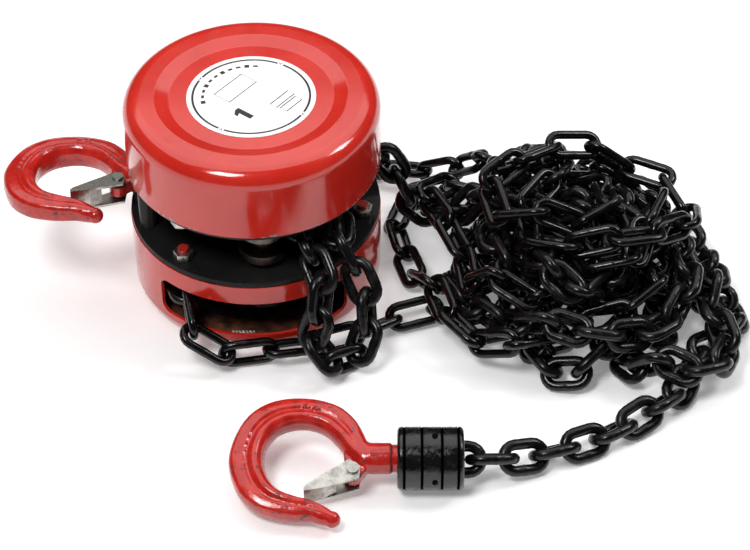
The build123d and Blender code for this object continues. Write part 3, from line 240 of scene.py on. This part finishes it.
def forged_red(name):
    """Thick red paint over a rough forging, worn to dark scale on its crests and in spots."""
    s = Shader(name)
    lumps = s.noise(7.0, 3, 0.55)
    grain = s.noise(0.9, 3, 0.6)
    pits = s.remap(s.cells(3.2), 0.0, 0.28)
    wear = s.math("ADD", s.times(s.edges(0.503, 0.530), 0.30), s.noise(3.0, 5, 0.7))
    spot = s.times(s.remap(s.noise(1.9, 3, 0.7), 0.57, 0.62), s.remap(s.noise(15, 2), 0.48, 0.60))
    bare = s.math("MAXIMUM", s.remap(wear, 0.72, 0.78), spot)
    colour = s.blend(s.remap(lumps, 0.35, 0.7), (0.47, 0.012, 0.008), (0.62, 0.022, 0.014))
    colour = s.blend(s.times(s.remap(grain, 0.5, 0.75), 0.2), colour, (0.20, 0.012, 0.010))
    colour = s.blend(s.times(bare, 0.92), colour, (0.030, 0.018, 0.014))
    rough = s.math("ADD", s.remap(lumps, 0.3, 0.7, 0.16, 0.26), s.times(bare, 0.35))
    relief = s.math("SUBTRACT", s.times(grain, 0.25), s.times(bare, 0.7))
    normal = s.bump(relief, 0.08, s.bump(pits, 0.03, s.bump(lumps, 0.45)))
    s.set(Base_Color=colour, Roughness=rough, Normal=normal, Coat_Weight=0.3, Coat_Roughness=0.10)
    return s.material


def black_enamel(name):
    """Smooth black paint with faint dust and scuffs, and a painted highlight along its convex edges."""
    s = Shader(name)
    cloud = s.remap(s.noise(11, 5, 0.65), 0.42, 0.75)
    scuff = s.remap(s.noise(1.6, 4, 0.7), 0.62, 0.72)
    dust = s.times(s.math("ADD", s.times(cloud, 0.4), scuff), 0.12)
    colour = s.blend(dust, (0.0035, 0.0035, 0.004), (0.030, 0.029, 0.027))
    # Painted highlight: convex edges are lightened to grey, standing in for the pale highlight line along
    # them.
    colour = s.blend(s.times(s.edges(), 0.35), colour, (0.10, 0.095, 0.09))
    rough = s.remap(cloud, 0.0, 1.0, 0.12, 0.34)
    normal = s.bump(s.noise(1.4, 4), 0.01)
    s.set(Base_Color=colour, Roughness=rough, Normal=normal, Specular_IOR_Level=0.08)
    return s.material


def cast_black(name):
    """Glossy black paint over a lumpy casting, with painted shade in its turned grooves: near black and
    without shine there.
    """
    s = Shader(name)
    lumps = s.noise(3.4, 4, 0.6)
    dust = s.remap(s.noise(1.6, 4, 0.7), 0.60, 0.70)
    colour = s.blend(s.times(dust, 0.3), (0.004, 0.004, 0.0045), (0.06, 0.058, 0.054))
    rough = s.remap(lumps, 0.40, 0.62, 0.10, 0.34)
    shine = 0.55
    # Painted shade: each turned groove is darkened to near black, and its shine is taken away.
    for groove in COUPLING_GROOVES:
        away = s.math("ABSOLUTE", s.math("SUBTRACT", s.place()[0], groove * MM))
        near = s.remap(away, 0.5 * MM, 1.1 * MM, 1.0, 0.0)
        colour = s.blend(near, colour, (0.001, 0.001, 0.001))
        shine = s.times(s.math("SUBTRACT", 1.0, near), shine)
    normal = s.bump(s.noise(0.8, 3), 0.03, s.bump(lumps, 0.22))
    s.set(Base_Color=colour, Roughness=rough, Normal=normal, Specular_IOR_Level=shine)
    return s.material


def chain_finish(name, gloss, base, rust):
    """Blackened steel wire: scuffed where links rub, with fine pitting and a little rust."""
    s = Shader(name)
    cloud = s.remap(s.noise(7, 4, 0.6), 0.38, 0.68)
    scuff = s.remap(s.noise(2.2, 5, 0.72), 0.60, 0.74)
    spot = s.times(s.remap(s.noise(1.1, 3, 0.7), 0.66, 0.74), s.remap(s.noise(19, 2), 0.50, 0.66))
    colour = s.blend(cloud, (base, base, base * 1.05), (base * 2.1, base * 2.0, base * 1.95))
    colour = s.blend(s.times(scuff, 0.14), colour, (0.10, 0.096, 0.092))
    colour = s.blend(s.times(spot, rust), colour, (0.19, 0.065, 0.025))
    rough = s.math("ADD", s.remap(cloud, 0.0, 1.0, gloss, gloss + 0.13), s.times(spot, 0.3))
    normal = s.bump(s.noise(4.5, 2), 0.12, s.bump(s.noise(1.0, 4, 0.6), 0.035))
    s.set(Base_Color=colour, Roughness=rough, Normal=normal)
    s.set(Specular_IOR_Level=0.30, Coat_Weight=0.1, Coat_Roughness=0.10)
    return s.material


def bare_metal(name, colour, gloss, grime, grain=(1, 1, 1)):
    """Uncoated or zinc-plated metal with brushed grain, stains and dirt in its dull areas."""
    s = Shader(name)
    stain = s.remap(s.noise(6, 5, 0.65), 0.40, 0.72)
    line = s.noise(0.7, 3, 0.6, grain)
    speck = s.remap(s.noise(1.2, 3, 0.7), 0.62, 0.72)
    tone = s.blend(s.times(stain, grime), colour, tuple(0.32 * c for c in colour))
    tone = s.blend(s.times(speck, grime), tone, (0.09, 0.075, 0.06))
    rough = s.math("ADD", s.remap(line, 0.3, 0.7, gloss, gloss + 0.12), s.times(stain, 0.14))
    s.set(Base_Color=tone, Roughness=rough, Normal=s.bump(line, 0.02), Metallic=1.0)
    return s.material


def rusty_casting(name):
    """Rough casting, oiled and rusty."""
    s = Shader(name)
    blotch = s.remap(s.noise(9, 5, 0.65), 0.35, 0.68)
    colour = s.blend(blotch, (0.030, 0.020, 0.016), (0.115, 0.050, 0.032))
    colour = s.blend(s.times(s.edges(), 0.5), colour, (0.22, 0.19, 0.16))
    rough = s.remap(blotch, 0.0, 1.0, 0.38, 0.68)
    s.set(Base_Color=colour, Roughness=rough, Normal=s.bump(s.noise(0.8, 3, 0.7), 0.16), Metallic=0.35)
    return s.material


def plain_film(name, colour, gloss, stain):
    """Printed film, lining and other dull sheet: even colour with faint stains and fibre."""
    s = Shader(name)
    cloud = s.remap(s.noise(8, 4, 0.6), 0.45, 0.8)
    tone = s.blend(s.times(cloud, stain), colour, tuple(0.55 * c for c in colour))
    rough = s.remap(s.noise(2.0, 3), 0.3, 0.7, gloss, gloss + 0.1)
    s.set(Base_Color=tone, Roughness=rough, Normal=s.bump(s.noise(0.6, 2), 0.006))
    return s.material


def stud_paint(name):
    """Red overspray on the studs' ends, patchy over steel."""
    s = Shader(name)
    bare = s.remap(s.noise(1.5, 4, 0.7), 0.52, 0.6)
    colour = s.blend(bare, (0.52, 0.02, 0.014), (0.10, 0.045, 0.035))
    rough = s.remap(bare, 0.0, 1.0, 0.3, 0.55)
    s.set(Base_Color=colour, Roughness=rough, Normal=s.bump(s.noise(0.8, 3), 0.08))
    return s.material


# ---------------------------------------------------------------- mesh helpers
def polar(radius, angle):
    return radius * math.cos(math.radians(angle)), radius * math.sin(math.radians(angle))


def dress_mesh(name, mesh, material, body):
    """Makes a smooth-shaded piece of a mesh, on its body."""
    for polygon in mesh.polygons:
        polygon.use_smooth = True
    mesh.materials.clear()
    mesh.materials.append(material)
    piece = bpy.data.objects.new(name, mesh)
    bpy.context.scene.collection.objects.link(piece)
    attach(piece, body)
    return piece


def new_object(name, vertices, faces, material, body):
    mesh = bpy.data.meshes.new(name)
    mesh.from_pydata([tuple(v) for v in vertices], [], [tuple(f) for f in faces])
    mesh.validate()
    return dress_mesh(name, mesh, material, body)


def body_of_node(node):
    for body, nodes in frame["record"]["behaviour"]["bodies"].items():
        if node in nodes:
            return body


def solids_of(node):
    """Vertex positions of each separate solid in a CAD node, in metres.

    Vertices at one place are counted as one; each takes the lowest number in its solid.
    """
    mesh = frame["nodes"][node].data
    places = np.zeros(len(mesh.vertices) * 3)
    mesh.vertices.foreach_get("co", places)
    places = places.reshape(-1, 3)
    _, same = np.unique(np.round(places * 1e6).astype(np.int64), axis=0, return_inverse=True)
    same = same.ravel()
    ends = np.zeros(len(mesh.edges) * 2, np.int64)
    mesh.edges.foreach_get("vertices", ends)
    a, b = same[ends[::2]], same[ends[1::2]]
    label = np.arange(same.max() + 1)
    while True:
        low = np.minimum(label[a], label[b])
        after = label.copy()
        np.minimum.at(after, a, low)
        np.minimum.at(after, b, low)
        after = after[after]
        if np.array_equal(after, label):
            break
        label = after
    group = label[same]
    solids = [places[group == g] for g in np.unique(group)]
    return sorted(solids, key=lambda p: tuple(np.round(p.mean(0), 4)))


def frame_of(points):
    """Centre and main directions of a chain link: along, across, and square to its plane."""
    points = np.unique(np.round(points, 7), axis=0)
    _, spread = np.linalg.eigh(np.cov((points - points.mean(0)).T))
    along, across = spread[:, 2], spread[:, 1]
    for direction in (along, across):
        direction *= np.sign(direction[np.argmax(np.abs(direction))])
    axes = np.stack([along, across, np.cross(along, across)])
    local = points @ axes.T
    return (local.max(0) + local.min(0)) / 2 @ axes, axes


# ---------------------------------------------------------------- chain links
RING_POINTS = 14
CROWN_STEPS = 9
SIDE_SHARES = (0.0, 0.22, 0.36, 0.44, 0.5, 0.56, 0.64, 0.78)    # closer together at the weld
WELD_SWELL = 0.06           # share by which the wire is thicker at its weld
WELD_SPREAD = 1.5
WELD_DRIFT = 0.8            # how far a weld may lie from the middle of its side


def link_path(wire, pitch, inside, weld, lean):
    """Stations round one link: place, outward direction and swell of the wire."""
    bend = (inside + wire) / 2
    half = (pitch + wire) / 2 - bend
    path = []
    for side in (1, -1):
        for k in range(CROWN_STEPS):
            a = math.pi * (0.5 - k / CROWN_STEPS)
            path.append((side * (half + bend * math.cos(a)), side * bend * math.sin(a),
                         side * math.cos(a), side * math.sin(a), 1.0))
        for share in SIDE_SHARES:
            x = side * (half - 2 * half * share)
            swell = 1.0
            if side == weld:
                swell += WELD_SWELL * math.exp(-((x - lean) / WELD_SPREAD) ** 2)
            path.append((x, -side * bend, 0.0, -side * 1.0, swell))
    return path


def link_shape(wire, pitch, inside, weld, lean):
    """Points, in metres, and faces of one link about the origin, its length along X."""
    path = link_path(wire, pitch, inside, weld, lean)
    points, faces = [], []
    for i, (x, y, nx, ny, swell) in enumerate(path):
        j = (i + 1) % len(path)
        for k in range(RING_POINTS):
            n = (k + 1) % RING_POINTS
            a = 2 * math.pi * k / RING_POINTS
            r = wire / 2 * swell
            points.append((x + nx * r * math.cos(a), y + ny * r * math.cos(a), r * math.sin(a)))
            faces.append((i * RING_POINTS + k, j * RING_POINTS + k, j * RING_POINTS + n, i * RING_POINTS + n))
    return np.array(points) * MM, faces


def chain_piece(name, node, size, material, rng):
    """Fine links in place of a CAD chain node's links."""
    vertices, faces = [], []
    for solid in solids_of(node):
        centre, axes = frame_of(solid)
        weld, lean = rng.choice((-1, 1)), rng.uniform(-WELD_DRIFT, WELD_DRIFT)
        points, quads = link_shape(*size, weld, lean)
        faces += [tuple(len(vertices) + k for k in quad) for quad in quads]
        vertices += list(points @ axes + centre)
    piece = new_object(name, vertices, faces, material, body_of_node(node))
    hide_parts(node)


# ---------------------------------------------------------------- hooks
# Stations from the neck round to the tip: inner point, outer point, thickness, how much the
# section is pressed in between its inner bead and its outer band (0 round, 1 full).
HOOK_STATIONS = (
    ((38.5, -8.4), (38.5, 8.4), 16.8, 0.0), ((33.0, -7.2), (36.5, 9.6), 16.6, 0.2),
    ((25.5, 0.6), (34.6, 14.2), 15.6, 0.6), ((20.0, 8.6), (29.6, 22.6), 15.4, 1.0),
    ((12.5, 15.6), (20.0, 30.6), 15.4, 1.0), ((2.0, 18.6), (3.5, 34.6), 15.8, 1.0),
    ((-9.0, 15.6), (-15.0, 32.0), 16.4, 1.0), ((-15.6, 7.6), (-29.0, 20.6), 16.8, 1.0),
    ((-17.4, -2.0), (-36.4, -1.0), 17.0, 1.0), ((-15.4, -12.0), (-31.5, -20.5), 16.8, 1.0),
    ((-10.0, -19.6), (-20.5, -31.4), 16.0, 1.0), ((-1.5, -23.4), (-5.0, -35.8), 14.6, 0.9),
    ((7.0, -25.6), (6.4, -36.4), 13.0, 0.6), ((14.0, -28.6), (11.4, -38.2), 11.2, 0.2),
    ((19.4, -32.4), (16.2, -39.4), 9.4, 0.0),
)
# Half of the pressed section from its inner to its outer side: place across, half height.
PRESSED = ((0.0, 0.0), (0.02, 0.42), (0.10, 0.78), (0.22, 0.98), (0.33, 0.98), (0.43, 0.84), (0.50, 0.72),
           (0.55, 0.78), (0.60, 0.86), (0.75, 0.80), (0.90, 0.70), (0.975, 0.52), (1.0, 0.0))


def spline(values, steps):
    """Catmull-Rom through a list of numpy rows."""
    v = [2 * values[0] - values[1]] + list(values) + [2 * values[-1] - values[-2]]
    out = []
    for a, b, c, d in zip(v, v[1:], v[2:], v[3:]):
        for k in range(steps):
            t = k / steps
            out.append(0.5 * (2 * b + (c - a) * t + (2 * a - 5 * b + 4 * c - d) * t * t
                              + (3 * b - a - 3 * c + d) * t ** 3))
    return out + [values[-1]]


def hook_ring(row):
    """Closed section of the hook at one station."""
    inner, outer, thick, pressed = row[0:2], row[2:4], row[4], row[5]
    points = []
    sides = [(s, h, 1) for s, h in PRESSED] + [(s, h, -1) for s, h in PRESSED[-2:0:-1]]
    for s, h, sign in sides:
        round_h = 2 * math.sqrt(max(s * (1 - s), 0.0))
        height = (round_h * (1 - pressed) + h * pressed) * thick / 2 * sign
        place = inner + (outer - inner) * s
        points.append((place[0], place[1], height))
    return points


def sweep_hook(bm):
    """The hook's bow: sections swept from the neck to the tip, closed at both ends."""
    rows = [np.array([*i, *o, t, p]) for i, o, t, p in HOOK_STATIONS]
    rings = [hook_ring(row) for row in spline(rows, 6)]
    made = [bm.verts.new(p) for points in rings for p in points]
    n = len(rings[0])
    for i in range(len(rings) - 1):
        for k in range(n):
            corners = (i * n + k, i * n + (k + 1) % n, (i + 1) * n + (k + 1) % n, (i + 1) * n + k)
            bm.faces.new([made[c] for c in corners])
    bm.faces.new(made[:n][::-1])
    bm.faces.new(made[-n:])


def add_ball(bm, place, radius, flat=1.0):
    matrix = Matrix.Translation(place) @ Matrix.Diagonal((radius, radius, radius * flat, 1))
    bmesh.ops.create_uvsphere(bm, u_segments=24, v_segments=14, radius=1.0, matrix=matrix)


def add_rod(bm, start, end, radius):
    axis = Vector(end) - Vector(start)
    turn = axis.to_track_quat("Z", "Y").to_matrix().to_4x4()
    matrix = Matrix.Translation((Vector(start) + Vector(end)) / 2) @ turn
    bmesh.ops.create_cone(bm, cap_ends=True, segments=48, radius1=radius, radius2=radius, depth=axis.length,
                          matrix=matrix)


def add_prism(bm, outline, low, high):
    lower = [bm.verts.new((x, y, low)) for x, y in outline]
    upper = [bm.verts.new((x, y, high)) for x, y in outline]
    bm.faces.new(lower[::-1])
    bm.faces.new(upper)
    for k in range(len(outline)):
        n = (k + 1) % len(outline)
        bm.faces.new((lower[k], lower[n], upper[n], upper[k]))


def add_latch_lug(bm):
    lug = ((36, -2), (24, 2), (26, -13), (30, -15), (36, -9))
    add_prism(bm, lug, -LUG_HALF, LUG_HALF)
    add_rod(bm, (*LATCH_PIVOT, -LUG_HALF), (*LATCH_PIVOT, LUG_HALF), 5.2)


def add_forging_marks(bm):
    """Raised marks: two plain dots and three ribs."""
    for x, y in ((4.0, 27.5), (9.0, 26.2)):
        add_ball(bm, (x, y, 6.0), 1.5, 0.9)
    for k in range(3):
        angle = 158 + 9 * k
        add_rod(bm, (*polar(27, angle), 6.4), (*polar(32, angle), 5.6), 0.9)


def forged_skin(name, rough):
    """Joins a mesh's overlapping solids, given in millimetres, into one softened skin."""
    shaper = bpy.data.objects.new(name + "_rough", rough)
    bpy.context.scene.collection.objects.link(shaper)
    remesh = shaper.modifiers.new("skin", "REMESH")
    remesh.mode = "VOXEL"
    remesh.voxel_size = SKIN_VOXEL
    soften = shaper.modifiers.new("soften", "SMOOTH")
    soften.factor = 0.5
    soften.iterations = 5
    depsgraph = bpy.context.evaluated_depsgraph_get()
    skin = bpy.data.meshes.new_from_object(shaper.evaluated_get(depsgraph))
    bpy.data.objects.remove(shaper)
    skin.name = name
    return skin


def hook_piece(name, node, setting, material):
    """One forged hook: bow with a rounded tip, shank, latch lug and forging marks."""
    centre, tilt, shank = setting
    bm = bmesh.new()
    sweep_hook(bm)
    add_ball(bm, TIP_PLACE, TIP_RADIUS)
    add_latch_lug(bm)
    for start, end, radius in shank:
        add_rod(bm, (start, 0, 0), (end, 0, 0), radius)
    add_forging_marks(bm)
    bmesh.ops.recalc_face_normals(bm, faces=bm.faces)
    rough = bpy.data.meshes.new(name + "_rough")
    bm.to_mesh(rough)
    bm.free()
    skin = forged_skin(name, rough)
    to_metres = Matrix.Diagonal((MM, MM, MM, 1))
    skin.transform(to_metres @ Matrix.Translation(centre) @ Matrix.Rotation(math.radians(tilt), 4, "X"))
    piece = dress_mesh(name, skin, material, body_of_node(node))
    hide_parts(node)


# ---------------------------------------------------------------- label print
def ink_strip(points, width, z, closed=False):
    """Flat printed line of the given width along points, in millimetres."""
    count = len(points)
    vertices, faces = [], []
    for k, (x, y) in enumerate(points):
        before = points[k - 1] if k or closed else points[k]
        after = points[(k + 1) % count] if k + 1 < count or closed else points[k]
        dx, dy = after[0] - before[0], after[1] - before[1]
        length = math.hypot(dx, dy)
        nx, ny = -dy / length * width / 2, dx / length * width / 2
        vertices += [(x + nx, y + ny, z), (x - nx, y - ny, z)]
    for k in range(count if closed else count - 1):
        n = (k + 1) % count
        faces.append((2 * k, 2 * n, 2 * n + 1, 2 * k + 1))
    return vertices, faces


def arc(radius, start, end, step=3.0):
    count = max(2, int(abs(end - start) / step) + 1)
    angles = [math.radians(start + (end - start) * k / (count - 1)) for k in range(count)]
    return [(radius * math.cos(a), radius * math.sin(a)) for a in angles]


def turned(points, angle, x=0.0, y=0.0):
    c, s = math.cos(math.radians(angle)), math.sin(math.radians(angle))
    return [(x + px * c - py * s, y + px * s + py * c) for px, py in points]


INK_LIFT = 0.02
RING_RADIUS, RING_LINE = 32.2, 1.25
FIRST_NOTCH, NOTCHES, NOTCH_LINE = 62, 4, 0.6
DASH_RADIUS, FIRST_DASH, DASH_STEP, DASHES = 26.6, 192, 10.5, 11
LABEL_LEAN = 52.0           # degrees by which the print is turned on the drum
# Blank boxes: centre, width and height, line width.
LABEL_BOXES = (((17.0, -2.6), (15.0, 4.6), 0.65), ((22.0, -6.6), (13.0, 4.6), 0.65),
               ((-9.0, 7.0), (23.0, 11.0), 0.6))
FIGURE_ONE = ((-1.4, -5.6), (1.9, -5.6), (1.9, 5.6), (-0.9, 5.6), (-3.9, 3.4), (-3.9, 1.0), (-1.4, 2.2))
FIGURE_PLACE = (-3.4, -15.2)


def label_lines():
    """Points, line width and whether closed, for every printed line."""
    lines = []
    for k in range(NOTCHES):
        quarter = 360 // NOTCHES
        start = FIRST_NOTCH + quarter * k
        lines.append((arc(RING_RADIUS, start + 3, start + quarter - 3), RING_LINE, False))
        notch = turned([(-0.9, 0.9), (0.0, -0.2), (0.9, 0.9)], start - 90, *polar(RING_RADIUS, start))
        lines.append((notch, NOTCH_LINE, False))
    for (x, y), (width, height), line in LABEL_BOXES:
        corners = [(sx * width / 2, sy * height / 2) for sx, sy in ((-1, -1), (1, -1), (1, 1), (-1, 1))]
        lines.append((turned(corners, LABEL_LEAN, x, y), line, True))
    for k in range(DASHES):
        a = FIRST_DASH - DASH_STEP * k
        dash = turned([(0, -1.3), (0, 1.3)], a, *polar(DASH_RADIUS, a))
        lines.append((dash, 1.5 if k % 3 else 2.6, False))
    return lines


def label_print(material):
    """Ring line with four notches, a row of dashes, blank boxes and a plain figure 1."""
    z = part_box("rating_label")[1][2] / MM + INK_LIFT
    vertices, faces = [], []
    for points, width, closed in label_lines():
        v, f = ink_strip(points, width, z, closed)
        faces += [tuple(len(vertices) + k for k in face) for face in f]
        vertices += v
    faces.append(tuple(range(len(vertices), len(vertices) + len(FIGURE_ONE))))
    vertices += [(x, y, z) for x, y in turned(FIGURE_ONE, LABEL_LEAN, *FIGURE_PLACE)]
    piece = new_object("label_print", [Vector(v) * MM for v in vertices], faces, material, "root")


# ---------------------------------------------------------------- finishes of the CAD nodes
def finish_cad_nodes(materials):
    for finish, nodes in NODE_FINISH.items():
        for name in nodes:
            mesh = frame["nodes"][name].data
            mesh.materials.clear()
            mesh.materials.append(materials[finish])


def soften_edges(names, width):
    """Rounds the sharp edges of some nodes with a small bevel."""
    for name in names:
        node = frame["nodes"][name]
        weld = node.modifiers.new("weld", "WELD")
        weld.merge_threshold = 1e-6
        bevel = node.modifiers.new("edge", "BEVEL")
        bevel.width = width * MM
        bevel.segments = 2
        bevel.limit_method = "ANGLE"
        bevel.angle_limit = math.radians(35)
        bevel.harden_normals = False


def make_materials():
    made = (
        gloss_red("cover_red", greasy=True),
        gloss_red("upper_red", rim=UPPER_RIM),
        forged_red("hook_red"),
        black_enamel("plate_black"),
        cast_black("coupling_black"),
        chain_finish("load_chain", 0.23, 0.003, 0.5),
        chain_finish("hand_chain", 0.15, 0.002, 0.9),
        bare_metal("zinc", (0.52, 0.51, 0.47), 0.24, 0.5),
        bare_metal("latch_zinc", (0.50, 0.485, 0.44), 0.22, 0.75, (1, 4, 1)),
        bare_metal("dark_steel", (0.12, 0.112, 0.10), 0.30, 0.5),
        bare_metal("roller_steel", (0.16, 0.14, 0.12), 0.26, 0.6),
        bare_metal("gear_steel", (0.42, 0.41, 0.39), 0.30, 0.35),
        bare_metal("bronze", (0.55, 0.36, 0.16), 0.32, 0.3),
        rusty_casting("wheel_iron"),
        rusty_casting("sheave_iron"),
        plain_film("lining", (0.11, 0.09, 0.07), 0.75, 0.5),
        plain_film("label_film", (0.96, 0.96, 0.95), 0.25, 0.04),
        plain_film("label_ink", (0.02, 0.02, 0.022), 0.35, 0.3),
        stud_paint("stud_red"),
    )
    # Blender numbers a name that the CAD scene already uses.
    return {material.name.split(".")[0]: material for material in made}


NODE_FINISH = {
    "cover_red": ("hand_wheel_cover",),
    "upper_red": ("gear_cover",),
    "hook_red": ("top_hook", "bottom_hook"),
    "plate_black": ("gear_side_plate", "hand_side_plate", "chain_stripper", "stay_bolts"),
    "coupling_black": ("coupling_half_a", "coupling_half_b", "coupling_screws"),
    "load_chain": ("load_chain", "load_link_1", "load_link_2", "load_link_3", "load_link_4", "load_link_5"),
    "hand_chain": ("hand_chain",),
    "zinc": ("cover_nuts", "stay_nuts", "gear_plate_nuts", "castle_nut", "split_pin",
             "top_latch_rivet", "bottom_latch_rivet"),
    "latch_zinc": ("top_hook_latch", "bottom_hook_latch"),
    "dark_steel": ("roller_pins", "anchor_pin", "top_hook_pins", "top_hook_yoke", "pawl_pins", "pawl_springs",
                   "pawl_1", "pawl_2", "ratchet_disc", "gear_plate", "gear_pillars", "top_latch_spring",
                   "bottom_latch_spring", "chain_pin", "thrust_washer", "top_hook_nut", "bottom_hook_nut",
                   "load_gear_ring"),
    "roller_steel": ("guide_roller_front", "guide_roller_back"),
    "gear_steel": ("drive_shaft", "load_gear", "disc_gear_1", "disc_gear_2", "brake_hub", "bearing_races",
                   "bearing_balls"),
    "bronze": ("shaft_bushes",),
    "wheel_iron": ("hand_wheel",),
    "sheave_iron": ("load_sheave",),
    "lining": ("friction_discs",),
    "label_film": ("rating_label",),
    "stud_red": ("cover_studs",),
}
SOFT_EDGED = ("cover_nuts", "top_hook_latch", "bottom_hook_latch", "gear_side_plate", "hand_side_plate")


# ---------------------------------------------------------------- light, floor and camera
# Lights: name, place, size, power in watts. All face the middle of the object.
OBJECT_MIDDLE = (0.08, -0.04, 0.05)
LIGHTS = (
    ("overhead", (0.0, 0.8, 1.9), (3.2, 2.0), 33),
    ("key_box", (-0.45, -0.75, 1.6), (0.5, 0.5), 18),
    ("side_box", (1.2, 0.2, 1.3), (0.4, 0.4), 8),
)
FLOOR_SIZE, FLOOR_DROP = 12.0, 0.0002
SKY_SEEN, SKY_GIVEN = 1.0, 0.05
CAMERA_PLACE = (0.0677, -1.0042, 0.9241)
CAMERA_DOWN = 42.86         # degrees below the horizon
CAMERA_LENS = 112.25


def area_light(name, place, size, power):
    data = bpy.data.lights.new(name, "AREA")
    data.shape = "RECTANGLE"
    data.size, data.size_y = size
    data.energy = power
    lamp = bpy.data.objects.new(name, data)
    lamp.location = place
    lamp.rotation_euler = (Vector(OBJECT_MIDDLE) - Vector(place)).to_track_quat("-Z", "Y").to_euler()
    bpy.context.scene.collection.objects.link(lamp)


def white_world(seen, given):
    """The camera sees one white; surfaces are lit by another, dimmer one."""
    world = bpy.data.worlds.new("studio")
    world.use_nodes = True
    tree = world.node_tree
    light = tree.nodes["Background"]
    light.inputs["Color"].default_value = (1, 1, 1, 1)
    path = tree.nodes.new("ShaderNodeLightPath")
    mix = tree.nodes.new("ShaderNodeMapRange")
    mix.inputs["To Min"].default_value = given
    mix.inputs["To Max"].default_value = seen
    tree.links.new(path.outputs["Is Camera Ray"], mix.inputs["Value"])
    tree.links.new(mix.outputs[0], light.inputs["Strength"])
    bpy.context.scene.world = world


def floor_white():
    """White floor that lights the gloss a little and fades into the white beyond it."""
    s = Shader("floor_white")
    path = s.add("ShaderNodeLightPath").outputs
    seen = s.times(path["Is Camera Ray"], s.remap(s.from_axis(), 0.45, 1.5, 0.22, 1.0))
    glow = s.math("ADD", s.times(path["Is Glossy Ray"], 0.3), seen)
    s.set(Base_Color=(0.93, 0.93, 0.93), Roughness=0.9)
    s.set(Emission_Color=(1.0, 1.0, 1.0), Emission_Strength=glow)
    return s.material


def studio():
    white_world(SKY_SEEN, SKY_GIVEN)
    bpy.ops.mesh.primitive_plane_add(size=FLOOR_SIZE, location=(0, 0, -FLOOR_DROP))
    floor = bpy.context.object
    floor.name = "floor"
    floor.data.materials.append(floor_white())
    for name, place, size, power in LIGHTS:
        area_light(name, place, size, power)


def photo_camera():
    data = bpy.data.cameras.new("photo_camera")
    data.sensor_width = 36.0
    data.lens = CAMERA_LENS
    camera = bpy.data.objects.new("photo_camera", data)
    camera.location = CAMERA_PLACE
    camera.rotation_euler = (math.radians(90 - CAMERA_DOWN), 0, 0)
    bpy.context.scene.collection.objects.link(camera)
    bpy.context.scene.camera = camera


# ---------------------------------------------------------------- the scene
def main():
    rng = random.Random(5)
    materials = make_materials()
    finish_cad_nodes(materials)
    soften_edges(SOFT_EDGED, EDGE_BEVEL)
    chain_piece("load_chain_links", "load_chain", LOAD_LINK, materials["load_chain"], rng)
    chain_piece("hand_chain_links", "hand_chain", HAND_LINK, materials["hand_chain"], rng)
    for k in range(1, LEAD_LINKS + 1):
        chain_piece("lead_link_%d" % k, "load_link_%d" % k, LOAD_LINK, materials["load_chain"], rng)
    hook_piece("top_hook_forging", "top_hook", TOP_HOOK, materials["hook_red"])
    hook_piece("bottom_hook_forging", "bottom_hook", BOTTOM_HOOK, materials["hook_red"])
    label_print(materials["label_ink"])
    studio()
    photo_camera()
    bpy.context.scene.view_settings.view_transform = "Standard"


main()
